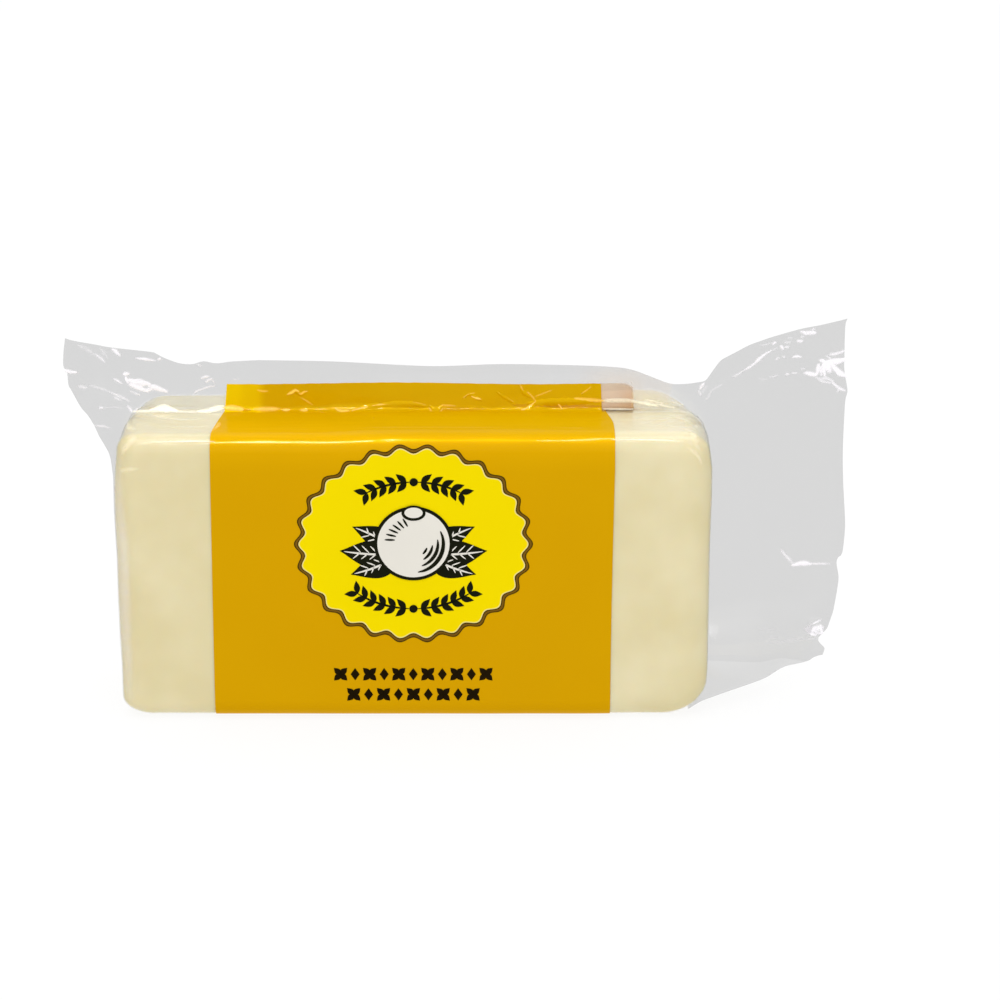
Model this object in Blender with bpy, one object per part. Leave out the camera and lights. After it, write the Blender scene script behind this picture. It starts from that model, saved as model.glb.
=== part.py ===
"""A bar of buffalo mozzarella sealed in a clear vacuum bag, standing on its long narrow side.

The bag and the cheese in it are one body.  The film lies tight on the bar, and where its
two sheets meet beyond the bar they stand up as a thin skirt in the bar's middle plane:
a low fin along the top, a wide loose flap at the right end, a pointed ear at the upper
left corner and a narrow seam down the left end.  At the foot of the flap the film comes
off the bar's lower corners and runs together like the end of a tent.

Metres, +Z up.  The origin is at the middle of the underside, and the printed front
looks along -Y.
"""

import math

import bmesh
import bpy

# The bar of cheese in its tight film.
BAR_LENGTH = 0.1460
BAR_DEPTH = 0.0496
BAR_HEIGHT = 0.0712
END_ROUND = 0.0080
EDGE_ROUND = 0.0045
LOW_RIGHT_ROUND = (0.0115, 0.0085)
PILLOW = 0.0006
ROUND_STEPS = 4
FLAT_STEPS = 9

# The skirt of film, two plies pressed together.
PLY = 0.0010
SEAM_SWELL = 0.0024
SWELL_REACH = 0.0022
TENT_HALF = 0.0192
TENT_REACH = 0.0315
TENT_HEIGHT = 0.021
ROOT_BOX = (0.050, 0.001, 0.050)
ROOT_RADIUS = 0.012
FOLD_DROP = 0.0090
STATION_STEP = 0.0042
ROWS = (-0.12, 0.03, 0.08, 0.16, 0.28, 0.45, 0.64, 0.83, 1.0)

# The skirt's outer edge in the middle plane, (x, z) in millimetres, from the foot of the
# right flap round the top and down the left end.
SKIRT_EDGE = (
    (103.3, 10.2), (102.3, 14.8), (105.3, 22.0), (105.8, 33.0), (107.1, 39.0),
    (106.8, 62.0), (105.8, 80.0), (106.4, 94.5),
    (92.7, 91.8), (82.9, 88.5), (75.6, 84.3), (70.8, 79.0), (64.0, 78.4), (56.0, 81.6),
    (46.0, 83.1), (6.0, 83.2), (-35.0, 84.4), (-57.5, 84.0), (-64.8, 86.8),
    (-77.0, 88.3), (-85.6, 89.8),
    (-86.2, 83.3), (-84.8, 77.0), (-79.4, 68.1), (-75.2, 59.5), (-74.4, 48.0),
    (-74.2, 6.0),
)

FILM_COLOUR = (0.82, 0.77, 0.58, 1.0)


def smooth(low, high, value):
    """Eased 0 to 1 as value goes from low to high."""
    t = min(max((value - low) / (high - low), 0.0), 1.0)
    return t * t * (3.0 - 2.0 * t)


def clamp(value, low, high):
    return min(max(value, low), high)


def clear_scene():
    for obj in list(bpy.data.objects):
        bpy.data.objects.remove(obj, do_unlink=True)


def collection(name):
    made = bpy.data.collections.new(name)
    bpy.context.scene.collection.children.link(made)
    return made


def material(name, colour, roughness):
    made = bpy.data.materials.new(name)
    made.use_nodes = True
    shader = made.node_tree.nodes["Principled BSDF"]
    shader.inputs["Base Color"].default_value = colour
    shader.inputs["Roughness"].default_value = roughness
    shader.inputs["Metallic"].default_value = 0.0
    return made


def box_mesh(counts):
    """A closed unit cube cut into counts of cells along x, y and z."""
    bm = bmesh.new()
    bmesh.ops.create_cube(bm, size=1.0)
    for axis, count in enumerate(counts):
        if count < 2:
            continue
        lines = []
        for edge in bm.edges:
            first, second = edge.verts
            if abs(first.co[axis] - second.co[axis]) > 0.5:
                lines.append(edge)
        bmesh.ops.subdivide_edges(bm, edges=lines, cuts=count - 1, use_grid_fill=True)
    return bm


def cell_index(value, count):
    return int(round((value + 0.5) * count))


def add_object(name, bm, home, shade_material=None):
    mesh = bpy.data.meshes.new(name)
    bmesh.ops.recalc_face_normals(bm, faces=bm.faces)
    bm.to_mesh(mesh)
    bm.free()
    obj = bpy.data.objects.new(name, mesh)
    home.objects.link(obj)
    if shade_material is not None:
        mesh.materials.append(shade_material)
    return obj


def grid_lines(half, radius):
    """Cell borders from -half to half: equal angles in each rounding, equal steps between."""
    flat = half - radius
    ends = []
    for step in range(ROUND_STEPS, 0, -1):
        ends.append(flat + radius * math.tan(math.radians(45.0) * step / ROUND_STEPS))
    lines = [-value for value in ends]
    for step in range(FLAT_STEPS + 1):
        lines.append(-flat + 2.0 * flat * step / FLAT_STEPS)
    lines.extend(reversed(ends))
    return lines


def bar_point(x, y, z):
    """Round and pillow a point of the plain box; z counts from the box's middle."""
    half = (BAR_LENGTH / 2.0, BAR_DEPTH / 2.0, BAR_HEIGHT / 2.0)
    low_right = smooth(0.040, 0.066, x) * smooth(0.004, -0.026, z)
    radii = (
        END_ROUND + (LOW_RIGHT_ROUND[0] - END_ROUND) * low_right,
        EDGE_ROUND,
        EDGE_ROUND + (LOW_RIGHT_ROUND[1] - EDGE_ROUND) * low_right,
    )
    inner = []
    away = []
    for value, reach, radius in zip((x, y, z), half, radii):
        core = clamp(value, radius - reach, reach - radius)
        inner.append(core)
        away.append((value - core) / radius)
    length = math.sqrt(sum(part * part for part in away))
    rounded = []
    for core, part, radius in zip(inner, away, radii):
        rounded.append(core + part / length * radius)
    x, y, z = rounded
    over_x = max(1.0 - (x / half[0]) ** 2, 0.0)
    over_y = max(1.0 - (y / half[1]) ** 2, 0.0)
    over_z = max(1.0 - (z / half[2]) ** 2, 0.0)
    y += PILLOW * (y / half[1]) * over_x ** 0.5 * over_z
    x += PILLOW * (x / half[0]) * over_y * over_z
    if z > 0.0:
        z += PILLOW * (z / half[2]) * over_x ** 0.5 * over_y
    return x, y, z + half[2]


def make_bar(name, home, look):
    lines_x = grid_lines(BAR_LENGTH / 2.0, END_ROUND)
    lines_y = grid_lines(BAR_DEPTH / 2.0, EDGE_ROUND)
    lines_z = grid_lines(BAR_HEIGHT / 2.0, EDGE_ROUND)
    count = len(lines_x) - 1
    bm = box_mesh((count, count, count))
    for vert in bm.verts:
        x = lines_x[cell_index(vert.co.x, count)]
        y = lines_y[cell_index(vert.co.y, count)]
        z = lines_z[cell_index(vert.co.z, count)]
        vert.co = bar_point(x, y, z)
    return add_object(name, bm, home, look)


def edge_stations():
    """Points along the skirt's outer edge, at most STATION_STEP apart, with every corner."""
    points = [(x / 1000.0, z / 1000.0) for x, z in SKIRT_EDGE]
    stations = [points[0]]
    for first, second in zip(points, points[1:]):
        length = math.dist(first, second)
        parts = max(1, round(length / STATION_STEP))
        for step in range(1, parts + 1):
            t = step / parts
            x = first[0] + (second[0] - first[0]) * t
            z = first[1] + (second[1] - first[1]) * t
            stations.append((x, z))
    return stations


def root_point(edge):
    """Where a rib of the skirt starts, well inside the bar."""
    x, z = edge
    if x > 0.0:
        z -= FOLD_DROP * (1.0 - smooth(0.010, 0.060, z))
    core_x = clamp(x, -ROOT_BOX[0], ROOT_BOX[0])
    core_z = clamp(z, ROOT_BOX[1], ROOT_BOX[2])
    length = math.dist((x, z), (core_x, core_z))
    scale = ROOT_RADIUS / length
    return core_x + (x - core_x) * scale, core_z + (z - core_z) * scale


def outside(x, z):
    """Distance beyond the bar's outline in the middle plane."""
    over_x = max(abs(x) - BAR_LENGTH / 2.0, 0.0)
    over_z = max(z - BAR_HEIGHT, 0.0)
    return math.hypot(over_x, over_z)


def leave_share(root, edge):
    """Share of a rib that lies inside the bar."""
    share = 1.0
    if abs(edge[0]) > BAR_LENGTH / 2.0:
        share = min(share, (BAR_LENGTH / 2.0 - abs(root[0])) / (abs(edge[0]) - abs(root[0])))
    if edge[1] > BAR_HEIGHT:
        share = min(share, (BAR_HEIGHT - root[1]) / (edge[1] - root[1]))
    return share


def skirt_sway(x, z, gap):
    """How far the loose film stands off the middle plane."""
    fin = 0.0007 * math.sin(x / 0.0190 + 0.5) + 0.0004 * math.sin(x / 0.0067 + 1.7)
    fin += 0.0008
    flap = 0.0034 * math.sin(z / 0.021 + 0.4) * smooth(0.078, 0.107, x)
    ear = -0.0026 * smooth(0.076, 0.087, -x)
    return fin * min(gap / 0.010, 1.0) * (1.0 - smooth(0.070, 0.085, x)) + flap + ear


def skirt_half(root_z, gap):
    """Half the distance between the film's two faces at a gap beyond the bar."""
    seam = SEAM_SWELL * math.exp(-gap / SWELL_REACH)
    tent = TENT_HALF * max(1.0 - gap / TENT_REACH, 0.0)
    share = 1.0 - smooth(0.0, TENT_HEIGHT, root_z - ROOT_BOX[1])
    return PLY / 2.0 + seam + (tent - seam) * share


def make_skirt(name, home):
    stations = edge_stations()
    rows = len(ROWS)
    bm = box_mesh((len(stations) - 1, rows, 1))
    for vert in bm.verts:
        edge = stations[cell_index(vert.co.x, len(stations) - 1)]
        row = cell_index(vert.co.y, rows)
        side = 1.0 if vert.co.z > 0.0 else -1.0
        root = root_point(edge)
        leave = leave_share(root, edge)
        share = 0.0
        if row > 0:
            share = leave + (1.0 - leave) * ROWS[row - 1]
        share = max(share, 0.02 * row)
        x = root[0] + (edge[0] - root[0]) * share
        z = root[1] + (edge[1] - root[1]) * share
        gap = outside(x, z)
        tent_level = root[1] if edge[0] > 0.0 else BAR_HEIGHT
        half = skirt_half(tent_level, gap)
        sway = skirt_sway(x, z, gap) if gap > 0.0 else 0.0
        vert.co = (x, sway + side * half, z + 0.25 * sway)
    obj = add_object(name, bm, home)
    obj.hide_render = True
    obj.display_type = "WIRE"
    return obj


def main():
    clear_scene()
    parts = collection("mozzarella_pack")
    helpers = collection("mozzarella_pack_helpers")
    look = material("film_on_cheese", FILM_COLOUR, 0.25)
    pack = make_bar("sealed_pack", parts, look)
    skirt = make_skirt("film_skirt", helpers)
    join = pack.modifiers.new("film_skirt", "BOOLEAN")
    join.operation = "UNION"
    join.solver = "EXACT"
    join.object = skirt
    pack.data.shade_smooth()
    pack.data.set_sharp_from_angle(angle=math.radians(40.0))


main()
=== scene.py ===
import itertools
import math

import bpy
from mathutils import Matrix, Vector, noise
from mathutils.geometry import tessellate_polygon


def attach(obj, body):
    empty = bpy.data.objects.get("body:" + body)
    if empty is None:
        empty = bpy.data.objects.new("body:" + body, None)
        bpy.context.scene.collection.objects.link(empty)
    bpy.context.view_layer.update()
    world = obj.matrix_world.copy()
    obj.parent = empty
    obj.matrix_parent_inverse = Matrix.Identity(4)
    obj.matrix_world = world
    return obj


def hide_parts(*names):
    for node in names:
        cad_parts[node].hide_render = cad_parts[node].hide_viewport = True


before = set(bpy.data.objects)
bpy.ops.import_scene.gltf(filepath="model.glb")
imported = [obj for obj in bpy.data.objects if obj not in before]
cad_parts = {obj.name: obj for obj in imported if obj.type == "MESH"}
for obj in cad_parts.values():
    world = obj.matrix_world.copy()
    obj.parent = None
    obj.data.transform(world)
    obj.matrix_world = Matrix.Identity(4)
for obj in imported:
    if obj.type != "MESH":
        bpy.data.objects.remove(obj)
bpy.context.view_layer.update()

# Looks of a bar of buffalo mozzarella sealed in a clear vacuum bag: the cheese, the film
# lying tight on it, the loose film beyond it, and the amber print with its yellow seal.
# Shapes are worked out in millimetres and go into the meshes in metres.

MM = 0.001
BODY = "root"
PACK_NODE = "sealed_pack"

# The bar in its tight film, as in the part's source.
BAR_LENGTH = 146.0
BAR_DEPTH = 49.6
BAR_HEIGHT = 71.2
END_ROUND = 8.0
EDGE_ROUND = 4.5
LOW_RIGHT_ROUND = (11.5, 8.5)
PILLOW = 0.6

# The print: half the band's width on the front and on the fin, how much narrower the film
# has drawn it on top and out to which x, how far the back sheet's print lies to the right,
# how high it runs on the fin, and how far ink stands off the film so that it shows.
BAND_HALF = 48.4
FIN_BAND_HALF = 46.5
BAND_DRAWN = 1.7
DRAWN_REACH = 64.0
BACK_SHIFT = 8.6
PRINT_TOP = 78.7
INK_STEP = 0.07

# The loose film: half the gap between its sheets, the radius of its turn into the fin, how
# steeply it stands up where it leans out flat and how grey it is low on the fin.
PLY_GAP = 0.11
SEAM_RADIUS = 1.1
LEAN_SLOPE = 1.11
FIN_GREY = 0.5

# The open foot of the flap, like the end of a tent.
TENT_HALF = 19.2
TENT_REACH = 31.5
TENT_HEIGHT = 21.0
FOOT_GREY = 0.74

# Ribs of the loose film start in a core inside the bar and end at stations on its edge.
CORE_X = 58.0
CORE_LOW = 1.0
FOOT_LOW = -2.5
CORE_HIGH = 56.0
CORE_RADIUS = 10.0
FOLD_DROP = 9.0
STATION_STEP = 0.85
ROOT_ROWS = 10
INNER_ROWS = 18
OUTER_ROWS = 17

# The four corners of a cell of a grid, in order round it.
CELL = ((0, 0), (1, 0), (1, 1), (0, 1))

# Runs of the loose film's outer edge between its corners, (x, z) in the middle plane,
# from the foot of the right flap round the top and down the left end.
EDGE_RUNS = (
    ((102.9, 8.8), (103.4, 10.5), (102.5, 11.5), (101.8, 12.4), (101.8, 13.2)),
    ((101.8, 13.2), (102.9, 14.5), (103.9, 15.6), (104.4, 16.9), (104.9, 18.5),
     (105.45, 20.4), (105.95, 23.6), (106.4, 27.0), (106.5, 29.4), (106.0, 32.0),
     (105.9, 33.0)),
    ((105.9, 33.0), (106.2, 34.1), (107.3, 35.5), (107.75, 41.3), (107.6, 45.1),
     (106.8, 54.1), (106.4, 61.8), (106.4, 73.2), (106.9, 76.5), (106.7, 78.2),
     (106.0, 82.0), (105.9, 85.8), (105.9, 93.0), (106.4, 94.9)),
    ((106.4, 94.9), (104.9, 94.5), (100.0, 93.3), (95.1, 92.3), (88.9, 90.5),
     (85.7, 89.4), (82.6, 88.2), (79.5, 86.5), (77.8, 85.6), (75.8, 84.4),
     (74.2, 82.3), (73.3, 81.0), (72.1, 79.4), (70.2, 78.9)),
    ((70.2, 78.9), (67.1, 78.5), (63.4, 78.6), (59.6, 80.0), (55.4, 81.7)),
    ((55.4, 81.7), (52.2, 82.5), (46.5, 83.0)),
    ((46.5, 83.0), (36.2, 83.3), (21.4, 83.5), (6.6, 83.0), (-3.2, 83.3),
     (-20.5, 84.2), (-38.2, 84.5)),
    ((-38.2, 84.5), (-42.7, 84.3), (-45.6, 84.1), (-48.8, 83.7), (-51.8, 84.2),
     (-54.5, 83.5), (-57.5, 83.7), (-59.9, 84.5), (-61.6, 85.2), (-63.6, 86.3)),
    ((-63.6, 86.3), (-64.8, 86.6), (-74.6, 87.7), (-77.8, 88.3), (-83.2, 89.3),
     (-85.5, 90.0)),
    ((-85.5, 90.0), (-86.0, 86.0), (-86.1, 83.3), (-85.8, 82.3), (-85.2, 81.2)),
    ((-85.2, 81.2), (-85.0, 78.2), (-84.5, 77.2), (-82.4, 72.9), (-80.5, 70.4),
     (-79.1, 67.9), (-78.0, 65.3), (-76.6, 62.8), (-75.4, 60.0), (-74.8, 55.0)),
    ((-74.8, 55.0), (-74.8, 46.0), (-74.55, 38.0), (-74.15, 28.0), (-73.45, 15.0),
     (-72.9, 6.0)),
)

# The fold under the flap's foot, (x, height); below the floor it lies in front instead.
FOOT_LINE = (
    (68.0, -5.4), (69.5, -4.4), (71.0, -3.5), (72.5, -2.9), (75.5, -1.75), (78.5, -0.7),
    (81.5, 0.35), (84.5, 1.4), (87.5, 2.5), (89.0, 3.35), (92.0, 5.3), (93.5, 5.9),
    (95.0, 6.2), (98.0, 6.8), (99.5, 7.3), (101.0, 8.4), (102.9, 8.8),
)

# How far the bar's two ends stand in from a plain box, (height, distance).
LEFT_INSET = (
    (0.0, 1.6), (12.0, 1.65), (19.0, 1.42), (31.0, 1.25), (41.0, 1.28), (49.0, 0.98),
    (56.0, 1.0), (61.0, 1.2), (66.0, 1.7), (72.0, 1.5),
)
RIGHT_INSET = (
    (4.0, 1.0), (12.0, 0.7), (41.0, 0.7), (56.0, 0.3), (62.0, 0.3), (66.0, 0.8), (72.0, 0.7),
)

# Where the film stands further off along the seam's root, (x, extra radius, reach).
ROOT_HUMPS = (
    (-61.0, 0.9, 3.4), (-49.0, 0.8, 4.2), (-39.0, 0.6, 4.0), (-15.0, 1.0, 8.0),
    (-5.0, 0.7, 3.0), (30.0, 1.1, 3.6), (42.0, 1.0, 5.0), (54.0, 0.8, 5.0),
)

# Where the film leans out flat at the seam's root, (x, how far it stands out there).
ROOT_LEANS = (
    (-70.0, 0.0), (-68.6, 0.15), (-66.0, 0.5), (-61.6, 1.2), (-59.6, 0.6), (-57.8, 0.3),
    (-52.4, 0.3), (-50.0, 0.8), (-47.0, 1.2), (-44.5, 0.95), (-42.4, 0.5), (-41.8, 0.0),
    (-39.8, 0.0), (-39.2, 0.7), (-33.6, 0.8), (-32.8, 0.1), (-31.5, 0.4), (-30.5, 0.0),
    (-27.6, 0.1), (-27.0, 0.4), (-26.0, 0.0), (-19.5, 0.0), (-17.5, 0.6), (-15.0, 0.1),
    (3.5, 0.1), (5.5, 0.6), (7.5, 0.1), (36.0, 0.0), (46.0, 0.3), (54.0, 0.6),
    (62.0, 0.6), (66.0, 0.2), (70.0, 0.0),
)

# The upper line of the part of the film that lies close before the cheese, (x, height).
NEAR_LINE = (
    (-72.3, -40.0), (-72.2, 65.2), (-71.6, 67.3), (-70.7, 69.1), (-69.8, 70.4),
    (-68.4, 71.9), (-66.9, 73.3), (-65.8, 74.2), (-64.4, 74.9), (-63.0, 75.4),
    (-61.3, 75.7), (46.0, 76.6), (58.2, 77.2), (60.3, 76.85), (61.6, 76.4), (63.0, 75.75),
    (65.3, 74.4), (67.4, 72.8), (69.8, 70.5), (71.0, 69.2), (72.0, 67.5), (72.7, 65.2),
    (72.8, -40.0),
)


def smooth(low, high, value):
    """Eased 0 to 1 as value goes from low to high, or 1 to 0 when low is the larger."""
    t = min(max((value - low) / (high - low), 0.0), 1.0)
    return t * t * (3.0 - 2.0 * t)


def clamp(value, low, high):
    return min(max(value, low), high)


def blend(first, second, share):
    return first + (second - first) * share


def wave(x, y, z):
    """Smooth seeded unevenness, about -1 to 1."""
    return noise.noise(Vector((x, y, z)))


def along(table, value):
    """Value between the table's (place, value) pairs, level beyond its ends."""
    if value <= table[0][0]:
        return table[0][1]
    for (low, first), (high, second) in zip(table, table[1:]):
        if value <= high:
            return blend(first, second, (value - low) / (high - low))
    return table[-1][1]


def taper(k, count, blunt, power):
    """Breadth at point k of a line of count points: 1 in its middle, least at its ends."""
    return math.sin(math.pi * (k + blunt) / (count - 1 + 2 * blunt)) ** power


def across_line(line, k):
    """Unit direction across a flat line at its point k."""
    a, b = line[max(k - 1, 0)], line[min(k + 1, len(line) - 1)]
    length = math.dist(a, b)
    return -(b[1] - a[1]) / length, (b[0] - a[0]) / length


# ---------------------------------------------------------------- meshes

class Sheet:
    """Points and faces in millimetres, gathered and then made one piece."""

    def __init__(self):
        self.points = []
        self.amounts = []
        self.faces = []
        self.inks = []

    def add_point(self, point, amount=0.0):
        self.points.append(point)
        self.amounts.append(amount)
        return len(self.points) - 1

    def add_face(self, corners, ink=0):
        self.faces.append(tuple(corners))
        self.inks.append(ink)

    def add_grid(self, rows, ink=0, flip=False, closed=False, amount=0.0):
        """Rows of points joined by quads, and each row's last to its first if closed."""
        indices = [[self.add_point(point, amount) for point in row] for row in rows]
        count = len(rows[0])
        for first, second in zip(indices, indices[1:]):
            for k in range(count if closed else count - 1):
                n = (k + 1) % count
                quad = (first[k], first[n], second[n], second[k])
                self.add_face(quad[::-1] if flip else quad, ink)

    def make(self, name, materials):
        """The finished piece, without points that no face uses. Each point's amount goes
        along as the attribute "amount": how grey the film is there, or how strong a painted
        glint, highlight or shade is there."""
        used = sorted({corner for face in self.faces for corner in face})
        place = {old: new for new, old in enumerate(used)}
        points = [tuple(value * MM for value in self.points[old]) for old in used]
        faces = [tuple(place[corner] for corner in face) for face in self.faces]
        mesh = bpy.data.meshes.new(name)
        mesh.from_pydata(points, [], faces)
        for material in materials:
            mesh.materials.append(material)
        mesh.polygons.foreach_set("material_index", self.inks)
        amount = mesh.attributes.new("amount", "FLOAT", "POINT")
        amount.data.foreach_set("value", [self.amounts[old] for old in used])
        mesh.shade_smooth()
        mesh.validate()
        mesh.update()
        piece = bpy.data.objects.new(name, mesh)
        bpy.context.scene.collection.objects.link(piece)
        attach(piece, BODY)
        return piece


def spread(low, high, step):
    """Even steps from low to high, without the last."""
    count = round((high - low) / step)
    return [low + (high - low) * k / count for k in range(count)]


def smooth_run(points, step):
    """Points of a smooth curve through the given ones, at most about step apart."""
    first = tuple(2 * a - b for a, b in zip(points[0], points[1]))
    last = tuple(2 * a - b for a, b in zip(points[-1], points[-2]))
    knots = (first, *points, last)
    run = []
    for before, here, there, after in zip(knots, knots[1:], knots[2:], knots[3:]):
        count = math.ceil(math.dist(here, there) / step)
        for s in range(count):
            t = s / count
            run.append(tuple(
                0.5 * (2 * b + (c - a) * t + (2 * a - 5 * b + 4 * c - d) * t * t
                       + (3 * b - a - 3 * c + d) * t * t * t)
                for a, b, c, d in zip(before, here, there, after)
            ))
    run.append(points[-1])
    return run


# ---------------------------------------------------------------- the bar's form

def corner_radii(x, y, z):
    """How far the bar's roundings reach along each axis; z counts from the middle."""
    low_right = smooth(40.0, 66.0, x) * smooth(4.0, -26.0, z)
    high = smooth(8.0, 28.0, z)
    back = smooth(0.0, 18.0, y)
    right = smooth(42.0, 62.0, x) * high
    left = smooth(42.0, 62.0, -x) * high
    return (
        END_ROUND + 3.5 * low_right + (7.0 * back - 0.6) * right + (4.2 * back - 3.2) * left,
        EDGE_ROUND,
        EDGE_ROUND + 4.0 * low_right + (0.8 + 3.8 * back) * right + (0.2 + 2.4 * back) * left,
    )


def end_inset(x, height):
    """How far a point moves in at the bar's ends."""
    if x < 0.0:
        return along(LEFT_INSET, height) * smooth(48.0, 72.0, -x)
    return -along(RIGHT_INSET, height) * smooth(52.0, 72.0, x)


def bar_point(x, y, z):
    """Point and outward direction on the rounded bar for a point of the plain box.

    z counts from the box's middle; the point returned counts it from the underside.
    """
    half = (BAR_LENGTH / 2, BAR_DEPTH / 2, BAR_HEIGHT / 2)
    radii = corner_radii(x, y, z)
    core = [clamp(v, r - h, h - r) for v, h, r in zip((x, y, z), half, radii)]
    away = [(v - c) / r for v, c, r in zip((x, y, z), core, radii)]
    length = math.sqrt(sum(a * a for a in away))
    x, y, z = (c + a / length * r for c, a, r in zip(core, away, radii))
    normal = Vector([a / r for a, r in zip(away, radii)]).normalized()
    over_x = max(1.0 - (x / half[0]) ** 2, 0.0)
    over_y = max(1.0 - (y / half[1]) ** 2, 0.0)
    over_z = max(1.0 - (z / half[2]) ** 2, 0.0)
    y += PILLOW * (y / half[1]) * over_x ** 0.5 * over_z
    x += PILLOW * (x / half[0]) * over_y * over_z
    if z > 0.0:
        z += PILLOW * (z / half[2]) * over_x ** 0.5 * over_y
        share = (z / half[2]) ** 6
        z += share * 1.5 * smooth(28.0, 46.0, x) * smooth(72.0, 60.0, x) * smooth(0.0, 17.0, y)
        z -= share * 0.5 * smooth(-4.0, -24.0, x) * smooth(0.0, -18.0, y)
    x += end_inset(x, z + half[2])
    return Vector((x, y, z + half[2])), normal


def film_lift(point, normal):
    """How far the tight film stands off the bar: streaks, edge waves and corner gathers."""
    x, y, z = point
    on_top = smooth(0.35, 0.95, normal.z)
    streaks = 0.085 * wave(x / 17.0, y / 1.25, 3.1) + 0.05 * wave(x / 9.0, y / 0.8, 9.4)
    lift = streaks * on_top
    near_edge = max(0.0, 1.0 - abs(normal.z - 0.6) / 0.45)
    lift += (0.12 * wave(x / 10.0, 7.7, y / 9.0) + 0.06 * wave(x / 3.4, 1.2, 0.4)) * near_edge
    drop = BAR_HEIGHT - z
    from_end = BAR_LENGTH / 2 - abs(x) - drop * normal.x ** 2
    from_seam = abs(y) + drop * normal.y ** 2
    reach = math.hypot(from_end, from_seam)
    turn = math.atan2(from_seam, from_end)
    side = 11.0 if x > 0.0 else 2.0
    gather = 1.0 - 2.4 * abs(wave(turn * 4.6, reach / 34.0, side))
    gather += 0.5 * wave(turn * 11.0, reach / 20.0, side + 5.0)
    lift += 0.30 * gather * smooth(1.5, 6.0, reach) * smooth(26.0, 9.0, reach)
    lift += 0.03 * wave(x / 16.0, y / 16.0, z / 16.0)
    return lift


def band_edges(y, z):
    """Where the band's two edges lie at a point of its way round the bar."""
    high = smooth(0.45 * BAR_HEIGHT, 0.9 * BAR_HEIGHT, z)
    drawn = BAND_DRAWN * smooth(21.5, -3.0, -y) * high
    drawn_right = (BAND_DRAWN * smooth(15.0, -4.0, -y) + 1.4 * smooth(0.8, 2.4, y)) * high
    drawn_right -= 0.7 * clamp(z / 62.0, 0.0, 1.0) ** 2
    shift = BACK_SHIFT * clamp(z / BAR_HEIGHT, 0.0, 1.0) * smooth(0.8, 2.4, y)
    return shift - BAND_HALF + drawn, shift + BAND_HALF - drawn_right


def skin_point(x, y, z, offset=0.0):
    """Point of the tight film, with the print's edges drawn to their places."""
    low, high = band_edges(y, z + BAR_HEIGHT / 2)
    if abs(x) <= BAND_HALF:
        x = blend(low, high, (x + BAND_HALF) / (2 * BAND_HALF))
    elif abs(x) < DRAWN_REACH:
        share = (abs(x) - BAND_HALF) / (DRAWN_REACH - BAND_HALF)
        x = blend(high, DRAWN_REACH, share) if x > 0 else blend(low, -DRAWN_REACH, share)
    point, normal = bar_point(x, y, z)
    return point + normal * (film_lift(point, normal) + offset)


# Dents in the front of the cheese, (x, height, reach, depth).
CHEESE_DENTS = (
    (54.2, 62.5, 2.6, 0.30), (57.5, 59.8, 3.0, 0.32), (-58.5, 62.8, 2.2, 0.22),
    (-55.5, 59.0, 2.8, 0.26), (61.0, 31.0, 4.5, 0.14), (-63.0, 40.0, 5.0, 0.14),
)


def cheese_point(x, y, z):
    """Point of the cheese just under the film, with its faint dents."""
    point, normal = bar_point(x, y, z)
    sink = 0.22 - 0.05 * wave(point.x / 7.0, point.y / 7.0, point.z / 7.0)
    for dent_x, dent_z, reach, depth in CHEESE_DENTS:
        if normal.y < -0.5:
            far = math.hypot(point.x - dent_x, point.z - dent_z)
            sink += depth * smooth(reach, 0.2 * reach, far)
    return point - normal * sink


def axis_lines(length, radius, turns, step, cut=None, cut_step=None):
    """Grid lines of one axis of the box: equal angles in the roundings and even steps
    between them, with lines of their own at the cuts and other steps between those."""
    flat = length / 2 - radius
    ends = [
        flat + radius * math.tan(math.radians(45.0) * k / turns)
        for k in range(turns, 0, -1)
    ]
    inner = spread(-flat, flat, step)
    if cut:
        inner = spread(-flat, -cut, step) + spread(-cut, cut, cut_step) + spread(cut, flat, step)
    return [-value for value in ends] + inner + [flat] + ends[::-1]


def box_faces(lines):
    """Quads of a closed box cut by the three lists of lines, with corners as indices."""
    quads = []
    counts = [len(values) - 1 for values in lines]
    for axis in range(3):
        a, b = (axis + 1) % 3, (axis + 2) % 3
        for end in (0, counts[axis]):
            for i in range(counts[a]):
                for j in range(counts[b]):
                    quad = []
                    for di, dj in CELL:
                        index = [0, 0, 0]
                        index[axis] = end
                        index[a] = i + di
                        index[b] = j + dj
                        quad.append(tuple(index))
                    quads.append(quad if end else quad[::-1])
    return quads


def cover_box(lines, place, choose):
    """Puts each quad of the box into the sheet that choose gives, at place's points."""
    made = {}
    known = {}
    for quad in box_faces(lines):
        middle = [sum(lines[axis][corner[axis]] for corner in quad) / 4 for axis in range(3)]
        sheet = choose(*middle)
        corners = []
        for corner in quad:
            if corner not in made:
                made[corner] = place(*(lines[axis][corner[axis]] for axis in range(3)))
            key = (id(sheet), corner)
            if key not in known:
                known[key] = sheet.add_point(made[corner])
            corners.append(known[key])
        sheet.add_face(corners)


# ---------------------------------------------------------------- the loose film's form

def root_radius(x):
    """Radius of the film's turn from the bar's top into the fin."""
    radius = SEAM_RADIUS * (1.0 + 0.45 * wave(x / 4.2, 0.3, 8.8) + 0.3 * wave(x / 1.7, 5.0, 2.0))
    for middle, extra, reach in ROOT_HUMPS:
        radius += extra * math.exp(-((x - middle) / reach) ** 2)
    return max(radius, 0.6)


def root_half(x, distance, radius):
    """Half the film's opening at a distance above its root: a rounded turn, which a flat
    lean stands before in some places."""
    turned = 0.0
    if distance < radius:
        turned = radius - math.sqrt(radius ** 2 - (radius - max(distance, 0.0)) ** 2)
    lean = along(ROOT_LEANS, x) if radius > 0.5 else 0.0
    return PLY_GAP + max(turned, lean - distance / LEAN_SLOPE)


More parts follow.
